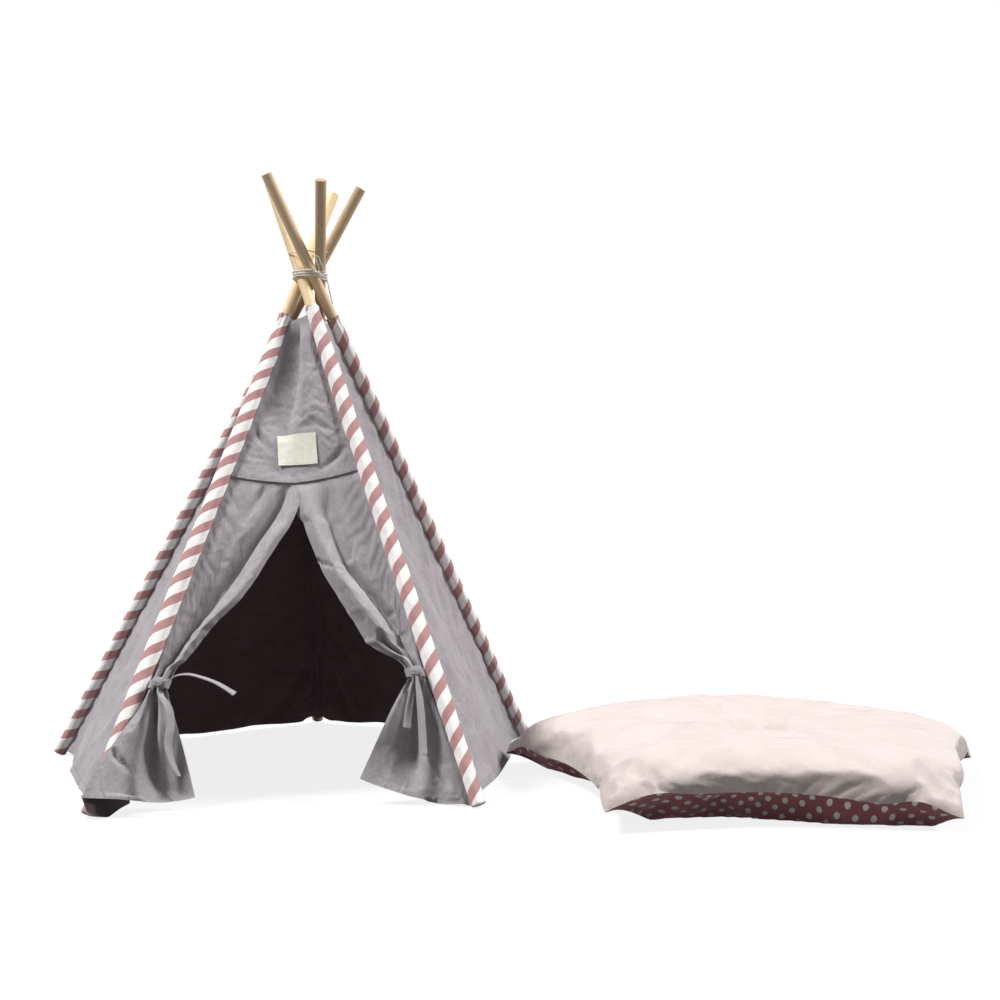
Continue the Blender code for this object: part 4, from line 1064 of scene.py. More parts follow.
def build_label():
    looks = materials()
    left, right = FRONT
    turn = math.radians(LABEL_TILT)
    width, height, thickness = LABEL
    rows, cols = 30, 36
    grid, uv = [], []
    for r in range(rows + 1):
        line, places = [], []
        for c in range(cols + 1):
            x, z = width * (c / cols - 0.5), height * (0.5 - r / rows)
            curl = 0.0016 * (abs(x) / width * 2) ** 4 * (r / rows) ** 2
            curl += 0.0003 * noise.noise(Vector((x * 70, z * 70, 3)))
            across = LABEL_PLACE[0] + TENT.x + x * math.cos(turn) - z * math.sin(turn)
            up = LABEL_PLACE[1] + LABEL_LIFT + (x * math.sin(turn) + z * math.cos(turn)) * LABEL_SLOPE
            a, b = left.edge(right, up).x, right.edge(left, up).x
            off = CLOTH / 2 + TIE_CLEARANCE + thickness / 2 + curl + 0.0004
            off += upper_folds((across - a) / (b - a), up)
            line.append(tuple(front_plane(across, up, off)))
            places.append((x, z))
        grid.append(line)
        uv.append(places)
    grid = np.array(grid)
    piece, normal = sheet_piece("label_patch_cloth", grid, uv, thickness, [looks["label"]] * 2, (0, -1, 0.3))
    hang_on(piece, left, right, ["label_patch"])
    ring = [(2, c) for c in range(2, cols - 1)] + [(r, cols - 2) for r in range(3, rows - 1)]
    ring += [(rows - 2, c) for c in range(cols - 3, 1, -1)] + [(r, 2) for r in range(rows - 3, 2, -1)]
    spots = tuple(zip(*ring))
    run = stitch_run(grid[spots], normal[spots], thickness / 2)
    stitches = stitch_piece("label_stitches", [run], looks["pale_thread"])
    hang_on(stitches, left, right)


class Bundle:
    """The gathered part of a curtain in its tie; sign is +1 where the curtain's free edge lies towards +X."""

    def __init__(self, pole, other, tie_height, sign):
        self.pole, self.other, self.sign, self.tie = pole, other, sign, tie_height
        room = SEAM_GAP - TIE_CLEARANCE
        self.outer = RIBBON + TIE_CLEARANCE - room + CLOTH / 2 + TIE_CLEARANCE

    def start(self, z):
        """Sideways place where the curtain's outer edge runs beside the sleeve."""
        near = smooth(1 - (abs(z - self.tie) - RIBBON_WIDTH * 0.6) / 0.06)
        return self.pole.edge(self.other, z, -0.0005).x + self.sign * near * self.outer

    def middle(self, z):
        return self.start(z) + self.sign * (BUNDLE_WIDTH - CLOTH) / 2


BUNDLES = {
    "left": Bundle(POLE["front_left"], POLE["front_right"], TIE_HEIGHT_LEFT, 1),
    "right": Bundle(POLE["front_right"], POLE["front_left"], TIE_HEIGHT_RIGHT, -1),
}
# free edges of the two curtains as shares of the width between the sleeves, by height
HANG_LEFT = [(0.35, 0.545), (0.318, 0.535), (0.306, 0.512), (0.2996, 0.497), (0.2885, 0.468),
             (0.2775, 0.43), (0.2557, 0.373), (0.2342, 0.326), (0.213, 0.272), (0.2026, 0.234),
             (0.1922, 0.196), (0.1818, 0.165), (0.1716, 0.142), (0.1614, 0.12), (0.1513, 0.105),
             (0.1412, 0.088)]
HANG_RIGHT = [(0.35, 0.505), (0.318, 0.498), (0.306, 0.482), (0.2996, 0.447), (0.2885, 0.43),
              (0.2665, 0.389), (0.2447, 0.352), (0.2338, 0.327), (0.2231, 0.3), (0.2017, 0.258),
              (0.1911, 0.234), (0.1701, 0.197), (0.1596, 0.172), (0.1492, 0.14), (0.1388, 0.085)]
# height of the turned-up corner's lower edge, by share of its width from the inner end
TURNED_EDGE = [(1.0, 0.006), (0.75, 0.0018), (0.5, 0.004), (0.25, 0.011), (0.0, 0.016)]
SKIRT_PUFF = 0.004
SKIRT_FALL = 0.019
BAND_HALF = RIBBON_WIDTH * 0.6
BUNDLE_SWING = (BUNDLE_DEPTH - CLOTH) / 2
CURTAIN_WIDTH = 0.15
CURTAIN_SEED = {"left": 31.0, "right": 44.0}
# folds of the gathered run and of the skirt, listed like the panels'
CURTAIN_FOLDS = {
    "left": [
        [(352, 88, -3, 10, 4), (320, 76, -6, 10, 4.5), (288.6, 67, -8, 12, 5), (248.3, 63, -9.5, 22, 5.5),
         (213.2, 55, -10, 24, 6), (190.2, 54, -9.5, 24, 7), (169.7, 47, -8, 16, 9), (140, 46, -3, 16, 10)],
        [(345, 98, 0, 8, 10), (310, 95, 5, 14, 12), (288.6, 92, 8, 18, 14), (248.3, 92, 11, 20, 14),
         (213.2, 90, 12, 22, 16), (190.2, 88, 11, 22, 18), (169.7, 82, 8, 20, 20), (140, 74, 3, 18, 26)],
        [(310, 34, 0, 10, 10), (260, 32, -3, 10, 10), (200, 24, -3.5, 10, 10), (150, 20, 0, 10, 10)],
        [(350, 56, 0, 6, 6), (335, 50, -3, 6, 6), (315, 42, -1.6, 7, 7), (295, 36, 0, 8, 8)],
    ],
    "right": [
        [(352, 93, 0, 10, 8), (320, 90, 3, 14, 8), (285, 86, 5, 14, 10), (255.4, 84, 8, 14, 12),
         (228.3, 78, 10, 18, 16), (201.5, 70, 11, 22, 20), (178.2, 62, 9, 24, 24), (144.8, 60, 3, 24, 24)],
        [(345, 55, 0, 12, 12), (315, 60, -4, 12, 10), (285, 62, -5, 10, 9), (255.4, 61, -7, 9, 8),
         (228.3, 48.5, -9, 9, 8), (201.5, 34.5, -10, 10, 9), (178.2, 25, -8, 10, 9), (159.3, 26, -6, 10, 8),
         (142, 34, -2, 10, 8)],
        [(262, 102, 0, 4, 4), (256, 97, -5, 3, 3), (250, 90, -3, 3, 3), (246, 84, 0, 3, 3)],
        [(182, 66, 0, 8, 5), (172, 61, -8, 6, 9), (160, 57, -10, 6, 9), (142, 60, -3, 8, 9)],
    ],
}
SKIRT_FOLDS_AT = {
    "left": [
        [(126, 20, 0, 16, 16), (80, 22, 2, 18, 16), (45, 26, 3, 22, 20), (12, 30, 2, 26, 22)],
        [(127, 50, -6, 20, 8), (100, 52, -16, 24, 7), (70, 56, -18, 26, 7), (45, 60, -13, 26, 9),
         (20, 64, -5, 26, 12)],
        [(90, 98, 0, 10, 10), (60, 92, -6, 10, 10), (30, 88, -6, 12, 12), (12, 88, -1, 14, 14)],
        [(127, 80, -1, 10, 20), (80, 84, 1, 12, 20), (20, 86, 2, 18, 20)],
        [(66, 4, 0, 5, 5), (57, 14, -4, 4.5, 4.5), (49, 28, -2.4, 5, 5), (40, 40, 0, 6, 6)],
    ],
    "right": [
        [(134, 14, -4, 10, 14), (90, 15, -12, 9, 20), (50, 16, -11, 9, 20), (24, 18, -4, 10, 16),
         (4, 18, 0, 15, 15)],
        [(134, 52, -6, 8, 16), (105, 52, -16, 7, 26), (70, 50, -17, 7, 28), (46, 48, -9, 8, 24),
         (24, 46, 0, 10, 20)],
        [(66, 42, 0, 6, 6), (52, 36, 5, 5, 8), (34, 26, 5, 5, 8), (14, 12, 2, 5, 8)],
        [(134, 80, -1, 12, 14), (80, 76, 1, 14, 18), (10, 72, 3, 20, 20)],
        [(62, 34, 0, 9, 9), (40, 38, 3, 10, 10), (15, 42, 3, 12, 12)],
    ],
}


def round_share(u):
    """Share of the bundle's depth that its rounded outline leaves at share u of its width."""
    return (1 - abs(2 * u - 1) ** 2.5) ** 0.4


def gathered_place(side, edge, u, t):
    """Sideways place, height and stand-off of a curtain above its tie, at share u of its width and share t of
    its drop."""
    bundle, (left, right) = BUNDLES[side], FRONT
    share = u * edge[0][1] if side == "left" else 1 - u * edge[0][1]
    # the top edge is sewn behind the upper panel's lower edge
    seam = seam_height(share) + 0.0035
    z = lerp(seam, bundle.tie - BAND_HALF, t)
    width = (right.edge(left, z) - left.edge(right, z)).length
    tied = smooth((bundle.tie + 0.034 - z) / 0.029)
    reach = lerp(curve_value(edge, z) * width, BUNDLE_WIDTH - CLOTH, tied)
    fold = lerp(0.12, round_share(u), tied) * smooth((0.3 - z) / 0.1)
    off = BUNDLE_SWING * fold * math.sin(2 * math.pi * BUNDLE_FOLDS * u) * smooth(tied * 1.4)
    off += 1.6 * folds_at(CURTAIN_FOLDS[side], u, z) * (1 - tied) * smooth(t * 10)
    wrinkle = bpy.context.scene.bed_cloth.wrinkle * 0.9
    off += crumple(u * 0.16, z, CURTAIN_SEED[side]) * wrinkle * (1 - tied) * smooth(u * 8) * smooth(t * 9)
    front = -0.0002 if side == "left" else 0.001
    off += lerp(-0.0012, front, smooth((seam - z - 0.004) / 0.012))
    return bundle.start(z) + bundle.sign * reach * u, z, off


def skirt_place(side, skirt, u, q):
    """Sideways place, height and stand-off of a curtain under its tie, at share u of its width and share q of
    its drop."""
    bundle = BUNDLES[side]
    (outer_x, outer_z, outer_off), (inner_x, inner_z, _) = skirt
    low = bundle.tie - BAND_HALF
    z = lerp(low, lerp(outer_z, inner_z, u) - 0.004 * math.sin(math.pi * u), q)
    inner = lerp(bundle.start(low) + bundle.sign * (BUNDLE_WIDTH - CLOTH), inner_x + TENT.x, q ** 0.9)
    outer = bundle.start(z) + bundle.sign * 0.0004
    # the left skirt hangs over its pole's foot, the right one ends against the sleeve
    hung = side == "left"
    if hung:
        outer += (outer_x + TENT.x - bundle.start(outer_z)) * smooth((q - 0.1) / 0.9)
        behind_sleeve, stand, sink = 0.0, outer_off, smooth((u - 0.25) / 0.5)
    else:
        behind_sleeve, stand, sink = smooth((q - 0.05) / 0.35), 0.0, smooth(u / 0.3)
        outer += 0.003 * behind_sleeve
    lift = lerp(0.001, stand, smooth(q / 0.45)) * (1 - smooth((u - 0.36) / 0.5))
    # full under the tie, then straight down to the hem
    puff = math.exp(-((q - 0.3) / 0.22) ** 2) * smooth(u / 0.3) * smooth((1.03 - u) / 0.12)
    lift += SKIRT_PUFF * puff - SKIRT_FALL * smooth((q - 0.15) / 0.85) * sink
    lift -= 0.0088 * behind_sleeve * (1 - smooth(u / 0.1))
    deep = BUNDLE_SWING * round_share(u) * (1 - smooth(q / 0.22))
    off = lift + deep * math.sin(2 * math.pi * BUNDLE_FOLDS * u) + 0.001
    off += 1.4 * folds_at(SKIRT_FOLDS_AT[side], u, z) * smooth(q * 6)
    wrinkle = bpy.context.scene.bed_cloth.wrinkle * 0.9
    off += crumple(u * 0.14, z, CURTAIN_SEED[side] + 4) * wrinkle * smooth(q * 3)
    return lerp(outer, inner, u), z, off


def curtain_grid(side, edge, skirt, rows, cols):
    """Grid of a tied-back curtain, from the seam through the tie to the hem, with its UV."""
    upper_rows = int(rows * 0.6)
    grid, uv = [], []
    run, before = 0.0, None
    for r in range(rows + 1):
        line = []
        for c in range(cols + 1):
            if r <= upper_rows:
                place = gathered_place(side, edge, c / cols, r / upper_rows)
            else:
                place = skirt_place(side, skirt, c / cols, (r - upper_rows) / (rows - upper_rows))
            line.append(tuple(front_plane(*place)))
        middle = Vector(line[cols // 2])
        run += (middle - before).length if before else 0.0
        before = middle
        grid.append(line)
        uv.append([(c / cols * CURTAIN_WIDTH, -run) for c in range(cols + 1)])
    return np.array(grid), np.array(uv)


def build_curtains():
    looks = materials()
    rows, cols, finer = 104, 54, 2
    sides = (("left", HANG_LEFT, SKIRT_LEFT), ("right", HANG_RIGHT, SKIRT_RIGHT))
    jobs, layouts = [], []
    for side, edge, skirt in sides:
        grid, uv = curtain_grid(side, edge, skirt, rows, cols)
        held = np.full(grid.shape[:2], 0.2)
        held[:3] = held[:, :2] = 1.0
        held[np.abs(grid[:, :, 2] - BUNDLES[side].tie) < 0.009] = 1.0
        jobs.append((grid, grid_faces(*grid.shape[:2]), held, 0.006))
        layouts.append(uv)
    for (side, *_), grid, uv in zip(sides, settle(jobs), layouts):
        bundle = BUNDLES[side]
        grid, uv = refine(grid, finer), refine(uv, finer)
        rows, cols = grid.shape[0] - 1, grid.shape[1] - 1
        piece, normal = sheet_piece("curtain_%s_cloth" % side, grid, uv, CLOTH * 0.75,
                                    [looks["canvas"], looks["lining"]], (0.0, -1.0, 0.3))
        hang_on(piece, bundle.pole, bundle.other, ["curtain_" + side])
        # two rows along the hem and one down the free edge, as far as it hangs open
        lift, upper = CLOTH * 0.375, slice(6, int(rows * 0.45))
        seams = ((slice(None), rows - 7), (slice(None), rows - 2), (cols - 5, upper))
        runs = [stitch_run(grid[row, column], normal[row, column], lift) for column, row in seams]
        stitches = stitch_piece("curtain_%s_stitches" % side, runs, looks["grey_thread"])
        hang_on(stitches, bundle.pole, bundle.other)
    build_turned_corner()


def build_turned_corner():
    """The lower outer corner of the left curtain, folded under so that its inner side shows below the hem; it
    is coloured near black as painted shade.
    """
    looks, bundle = materials(), BUNDLES["left"]
    cols, rows = 24, 12
    grid, uv = [], []
    for r in range(rows + 1):
        v = r / rows
        line, places = [], []
        for c in range(cols + 1):
            u = c / cols
            x = lerp(lerp(-0.4552, -0.407, u), lerp(-0.448, -0.409, u), v)
            z = lerp(lerp(0.0215, 0.019, u), max(0.0018, curve_value(TURNED_EDGE, 1 - u)), v)
            line.append(tuple(front_plane(x, z, 0.0117 - 0.015 * v * smooth((u - 0.2) / 0.25))))
            places.append((u * 0.048, -v * 0.02))
        grid.append(line)
        uv.append(places)
    grid = np.array(grid)
    piece, _ = sheet_piece("curtain_left_turned_corner", grid, uv, CLOTH * 0.75, [looks["facing"]] * 2,
                           (0.0, -1.0, 0.3))
    hang_on(piece, bundle.pole, bundle.other)


# ties


def knot_axes(bundle):
    """Middle of a tie's knot, with its directions sideways, up the front and outwards."""
    off = 0.001 + BUNDLE_DEPTH / 2 + 0.0006 + 2 * TIE_CLEARANCE + RIBBON + KNOT_SIZE[2] / 2
    centre = front_plane(bundle.middle(bundle.tie), bundle.tie, off)
    out = (centre - front_plane(bundle.middle(bundle.tie), bundle.tie)).normalized()
    side = Vector((1, 0, 0)) - out * out.x
    side.normalize()
    return centre, side, out.cross(side), out


def ribbon_strip(name, path, out, width, thickness, look, turns, widths):
    """A flat sewn ribbon along a path, a little cupped; turns lists how far it is turned on its long axis, in
    degrees, and widths its share of full width, both by share of its length. Returns its stitch runs too."""
    step, cols = 0.0012, 12
    path = resample(path, step)
    grid, uv = [], []
    last = len(path) - 1
    for k, p in enumerate(path):
        t = k / last
        along = (path[min(k + 1, last)] - path[max(k - 1, 0)]).normalized()
        wide = along.cross(out).normalized()
        up = wide.cross(along).normalized()
        if up.dot(out) < 0:
            up = -up
        turn = math.radians(float(np.interp(t, *zip(*turns))))
        wide, up = wide * math.cos(turn) + up * math.sin(turn), up * math.cos(turn) - wide * math.sin(turn)
        half = width / 2 * float(np.interp(t, *zip(*widths)))
        line, places = [], []
        for c in range(cols + 1):
            s = c / cols * 2 - 1
            wave = 0.00025 * noise.noise(Vector((k * step * 90, s, width)))
            line.append(p + wide * (s * half) + up * (0.0006 * (s * s - 0.5) + wave))
            places.append((s * width / 2, k * step))
        grid.append([tuple(q) for q in line])
        uv.append(places)
    grid = np.array(grid)
    thick = np.full(grid.shape[:2], thickness)
    thick[-4:] += 0.0005
    thick[:, :2] += 0.0002
    thick[:, -2:] += 0.0002
    piece, normal = sheet_piece(name, grid, uv, thick, [look, look], tuple(out))
    return piece, [stitch_run(grid[1:-1, c], normal[1:-1, c], thickness / 2) for c in (2, cols - 2)], path


# the band in a cut: share of the ribbon's width, and of its thickness outwards, with both faces cupped
BAND_CUT = [(-0.5, 0.0), (-0.25, -0.3), (0.0, -0.35), (0.25, -0.3), (0.5, 0.0),
            (0.5, 1.0), (0.25, 1.25), (0.0, 1.3), (-0.25, 1.25), (-0.5, 1.0)]


def build_band(side, bundle, look):
    """A ribbon that runs round the gathered cloth."""
    half_width, half_depth = BUNDLE_WIDTH / 2 + TIE_CLEARANCE, BUNDLE_DEPTH / 2 + TIE_CLEARANCE + 0.0006
    verts, uvs = [], []
    count, cut = 96, len(BAND_CUT)
    for k in range(count):
        t = 2 * math.pi * k / count
        # a rounded oblong, between an ellipse and a box
        cx, sx = [math.copysign(abs(x) ** 0.8, x) for x in (math.cos(t), math.sin(t))]
        for dz, grow in BAND_CUT:
            wave = 0.0004 * noise.noise(Vector((math.cos(t) * 2, math.sin(t) * 2, dz * 1.5)))
            z = bundle.tie + dz * RIBBON_WIDTH + wave
            a, b = half_width + grow * RIBBON * 0.8, half_depth + grow * RIBBON * 0.8
            verts.append(front_plane(bundle.middle(z) + a * cx, z, 0.001 + b * sx))
            uvs.append((t * 0.009, dz * RIBBON_WIDTH))
    last = (count - 1) * cut
    faces = grid_faces(count, cut, wrap=True)
    faces += [(last + k, last + (k + 1) % cut, (k + 1) % cut, k) for k in range(cut)]
    band = mesh_piece("tie_%s_band_ribbon" % side, verts, faces, [look], uvs)
    hang_on(band, bundle.pole, bundle.other, ["tie_%s_band" % side])


def build_knot(side, bundle, look):
    """The ribbon's lap over itself: a rounded lump with the grooves between its turns."""
    centre, across, up, out = knot_axes(bundle)
    bm = bmesh.new()
    bmesh.ops.create_cube(bm, size=2)
    bmesh.ops.subdivide_edges(bm, edges=bm.edges[:], cuts=15, use_grid_fill=True)
    for vert in bm.verts:
        form = vert.co.normalized().lerp(vert.co, 0.35)
        groove = 0.1 * math.exp(-((form.x - 0.35 * form.y) / 0.1) ** 2)
        groove += 0.08 * math.exp(-((form.y + 0.55 + 0.2 * form.x) / 0.09) ** 2)
        groove += 0.08 * math.exp(-((form.y - 0.5 + 0.3 * form.x) / 0.09) ** 2)
        lump = (1 - groove + 0.05 * noise.noise(form * 2.2)) / 2
        x, y, z = [form[k] * KNOT_SIZE[k] * lump for k in range(3)]
        vert.co = centre + across * x + up * y + out * z
    mesh = bpy.data.meshes.new("tie_%s_knot_ribbon" % side)
    layer = bm.loops.layers.uv.new("Cloth")
    for face in bm.faces:
        for loop in face.loops:
            loop[layer].uv = (loop.vert.co.x + loop.vert.co.y, loop.vert.co.z)
    bm.to_mesh(mesh)
    bm.free()
    mesh.shade_smooth()
    mesh.materials.append(look)
    knot = bpy.data.objects.new(mesh.name, mesh)
    bpy.context.scene.collection.objects.link(knot)
    hang_on(knot, bundle.pole, bundle.other, ["tie_%s_knot" % side])


def build_tails(side, bundle, looks):
    """The two free ends that come out of a tie's knot, each with a row of stitches along both edges."""
    centre, across, up, out = knot_axes(bundle)
    for name, points in TAILS.items():
        if side not in name:
            continue
        start, drop = points[0][1], points[0][1] - points[-1][1]
        # an end that hangs stands a little off the cloth under it
        route = [centre + across * a + up * b + out * (c + 0.003 * smooth((start - b) / drop * 2.5))
                 for a, b, c in points]
        piece, runs, line = ribbon_strip(name + "_ribbon", spaced(route, 6), out, RIBBON_WIDTH, RIBBON,
                                         looks["ribbon"], RIBBON_TURNS[name], RIBBON_WIDTHS[name])
        hang_on(piece, bundle.pole, bundle.other, [name])
        stitches = stitch_piece(name + "_stitches", runs, looks["grey_thread"], width=0.0004, height=0.0002)
        hang_on(stitches, bundle.pole, bundle.other)


def build_ties():
    looks = materials()
    for side, bundle in BUNDLES.items():
        build_band(side, bundle, looks["ribbon"])
        build_knot(side, bundle, looks["ribbon"])
        build_tails(side, bundle, looks)


# lashing


def bundle_radius(azimuth, z):
    """Distance from the tent's axis to the taut line round the five poles at height z."""
    best = None
    for k in range(180):
        a = azimuth + (k - 90) * 0.9
        n = around(a)
        support = 0.0
        for pole in POLE.values():
            centre = pole.at(pole.depth_at(z)) - TENT
            lean = Vector((pole.down.x, pole.down.y, 0)).normalized()
            long = POLE_DIAMETER / 2 / -pole.down.z
            reach = math.hypot(long * n.dot(lean), POLE_DIAMETER / 2 * n.dot(lean.cross(Vector((0, 0, 1)))))
            support = max(support, centre.x * n.x + centre.y * n.y + reach)
        ray = math.cos(math.radians(a - azimuth))
        if ray > 0.05:
            value = support / ray
            best = value if best is None else min(best, value)
    return best


def hole_mouths(pole):
    """The two mouths of the hole drilled through a pole above the lashing, along the ring of poles."""
    centre = pole.at(-HOLE_ABOVE_LASH)
    return centre - pole.side * POLE_DIAMETER / 2, centre + pole.side * POLE_DIAMETER / 2


def build_winding(look):
    """The cord that is wound round the poles' crossing, from one side of the knot to the other."""
    points = []
    lift = LASH_TURNS * LASH_PITCH / 2
    per_turn = 48
    for k in range(LASH_TURNS * per_turn - 3):
        turn = (k + 2) / per_turn
        azimuth = KNOT_AZIMUTH + 360 * turn
        z = LASH_HEIGHT - lift + LASH_PITCH * turn
        radius = bundle_radius(azimuth, z) + CORD_DIAMETER / 2 + CORD_CLEARANCE * 0.7
        points.append(TENT + around(azimuth, radius, z))
    winding = twisted_cord("lashing_winding_cord", points, CORD_DIAMETER, look)
    stand_in(winding, "lashing", "white_cord", "lashing_winding")


def build_lashing_knot(look):
    """The overhand knot on the winding, with the free end and the small bow that come out of it."""
    radius = bundle_radius(KNOT_AZIMUTH, LASH_HEIGHT) + CORD_CLEARANCE + CORD_DIAMETER
    radius += TIE_CLEARANCE + KNOT_RISE + KNOT_CORD / 2
    centre = TENT + around(KNOT_AZIMUTH, radius, LASH_HEIGHT)
    along, out, up = around(KNOT_AZIMUTH + 90), around(KNOT_AZIMUTH), Vector((0, 0, 1))
    thin = {"step": 0.0006, "lay": 0.0036}
    loop, steps = [], 144
    for k in range(steps + 1):
        t = 2 * math.pi * k / steps
        x = (math.sin(t) + 2 * math.sin(2 * t)) * KNOT_RADIUS * 0.42
        z = (math.cos(t) - 2 * math.cos(2 * t)) * KNOT_RADIUS * 0.42
        loop.append(centre + along * x + up * z - out * math.sin(3 * t) * KNOT_RISE)
    knot = twisted_cord("lashing_knot_cord", loop, KNOT_CORD, look, closed=True, **thin)
    stand_in(knot, "lashing", "white_cord", "lashing_knot")
    for name, route, far_end in (("lashing_tail", LASH_TAIL, "bare"), ("lashing_bow", LASH_BOW, "object")):
        path = spaced([centre + along * a + out * o + up * z for a, o, z in route], 12)
        piece = twisted_cord(name + "_cord", path, KNOT_CORD, look, **thin)
        stand_in(piece, "lashing", "white_cord", name)


def build_threading(look):
    """The thin cord that runs through the poles' drilled holes, from pole to pole."""
    order = sorted(POLE.values(), key=lambda p: math.atan2(p.waist.y - TENT.y, p.waist.x - TENT.x))
    order = order[-1:] + order[:-1]
    route = []
    for pole in order:
        start, end = hole_mouths(pole)
        here = (start + end) / 2 - TENT
        if here.x * (end.y - start.y) - here.y * (end.x - start.x) < 0:
            start, end = end, start
        away = (end - start).normalized() * 0.0012
        route += [start - away, end + away]
    thread = twisted_cord("threading_cord_twisted", spaced(route, 8), THREAD_DIAMETER, look, step=0.0006,
                          lay=0.0036)
    stand_in(thread, "lashing", "white_cord", "threading_cord")


def build_lashing():
    cord = materials()["cord"]
    build_winding(cord)
    build_lashing_knot(cord)
    build_threading(cord)


# poles and sleeves


def build_poles():
    looks = materials()
    for name in POLES:
        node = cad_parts["pole_" + name]
        for place in node.material_slots:
            place.material = looks["pine_" + name]


def sleeve_ring(pole, d, a, b, turns):
    """Points round a pole at distance d from its waist, a to the side and b outwards, above the floor."""
    ring = [pole.at(d) + pole.side * (a * math.cos(t)) + pole.out * (b * math.sin(t)) for t in turns]
    return [Vector((p.x, p.y, max(p.z, 0.0))) for p in ring]


def sleeve_body(pole, d, seed, turns):
    """A ring of the sleeve's body, with its small wrinkles and the gathers under its open top."""
    a, b = pole.sleeve_half(d)
    gather = math.exp(-((d - pole.bare) / 0.03) ** 2)
    ring = []
    for t in turns:
        x, y = math.cos(t), math.sin(t)
        slow = noise.noise(Vector((x * 1.2, y * 1.2, d * 40 + seed * 7)))
        tight = noise.noise(Vector((x * 0.8, y * 0.8, d * 120 + seed * 11)))
        wrinkle = 0.00055 * slow + 0.0004 * tight + gather * 0.0007 * math.cos(9 * t + seed) - 0.0004
        ring += sleeve_ring(pole, d, a + wrinkle, b + wrinkle, [t])
    return ring


# the open top turns in over its own edge, down to the pole: share of the radius, distance under the edge
SLEEVE_TURN_IN = ((0.86, 0.004), (0.9, 0.0004))
# the sewn bottom in rings: share of the half widths, distance past the pole's end
SLEEVE_END_RINGS = ((0.93, 0.0006), (0.74, 0.00115), (0.42, 0.00165), (0.1, 0.00185))


def build_sleeves():
    looks = materials()
    count = 56
    turns = [math.pi * (1.5 + 2 * c / count) for c in range(count + 1)]
    for seed, (name, pole) in enumerate(POLE.items()):
        length, shift = pole.reach - pole.bare, STRIPE_SHIFT[name]
        rows = int(length / 0.0022)
        verts, uvs = [], []

        def add_ring(ring, width, height):
            verts.extend(ring)
            uvs.extend((c / count * width, height + shift) for c in range(count + 1))

        for (share, down), height in zip(SLEEVE_TURN_IN, (length - 0.004, length)):
            radius = SLEEVE_RADIUS * share
            add_ring(sleeve_ring(pole, pole.bare + down, radius, radius, turns), 0.05, height)
        for r in range(rows + 1):
            d = lerp(pole.bare, pole.reach, r / rows)
            girth = math.pi * sum(pole.sleeve_half(d)) * STRIPE_CLIMB[name]
            add_ring(sleeve_body(pole, d, seed, turns), girth, pole.reach - d)
        a, b = pole.sleeve_half(pole.reach)
        for share, past in SLEEVE_END_RINGS:
            ring = sleeve_ring(pole, pole.reach + past, a * share, b * share, turns)
            add_ring(ring, 2 * math.pi * SLEEVE_RADIUS, -past)
        faces = grid_faces(len(verts) // (count + 1), count + 1)
        faces.append(tuple(range(count)))
        faces.append(tuple(range(len(verts) - count - 1, len(verts) - 1)))
        piece = mesh_piece("sleeve_%s_cloth" % name, verts, faces, [looks["stripes"]], uvs, sharp=75)
        stand_in(piece, name, "striped_cotton", "sleeve_" + name)


# cushion


def part_of(azimuth):
    """Place along a side of the cushion, 0 and 1 at its corners."""
    return (azimuth - 18.0) % 72.0 / 72.0


def bump(azimuth, middle, spread):
    """1 at azimuth middle, falling off over spread degrees to either side."""
    return math.exp(-((azimuth % 360 - middle) / spread) ** 2)


def straight_rim(azimuth):
    """Distance to the straight side between two corners."""
    return CUSHION_RADIUS * math.cos(math.radians(36)) / math.cos(math.radians(72 * part_of(azimuth) - 36))


def cushion_rim(azimuth):
    """Seam radius: a five-cornered outline with drawn-in sides and two pointed corners."""
    drawn = 1 - CUSHION_DRAWN * math.sin(math.pi * part_of(azimuth)) ** 0.8 * 0.8
    return straight_rim(azimuth) * drawn + 0.018 * bump(azimuth, 162, 12) + 0.022 * bump(azimuth, 234, 9)


def cushion_net(rings):
    """Flat net of one layer: ring r holds 5 r points between five corners. Azimuth in degrees and share of
    the seam radius for each point, with the triangles and the last ring's first point."""
    corner = [around(18 + 72 * k) for k in range(6)]
    places, first = [(0.0, 0.0)], [0]
    for r in range(1, rings + 1):
        first.append(len(places))
        for k in range(5):
            for n in range(r):
                spot = corner[k].lerp(corner[k + 1], n / r)
                places.append((math.degrees(math.atan2(spot.y, spot.x)), r / rings))
    faces = []
    for r in range(1, rings + 1):
        ring, inner = 5 * r, max(1, 5 * (r - 1))
        for k in range(5):
            for n in range(r):
                a, b = first[r] + k * r + n, first[r] + (k * r + n + 1) % ring
                c = first[r - 1] + (k * (r - 1) + n) % inner
                faces.append((a, b, c))
                if n < r - 1:
                    faces.append((b, first[r - 1] + (k * (r - 1) + n + 1) % inner, c))
    return places, faces, first[rings]


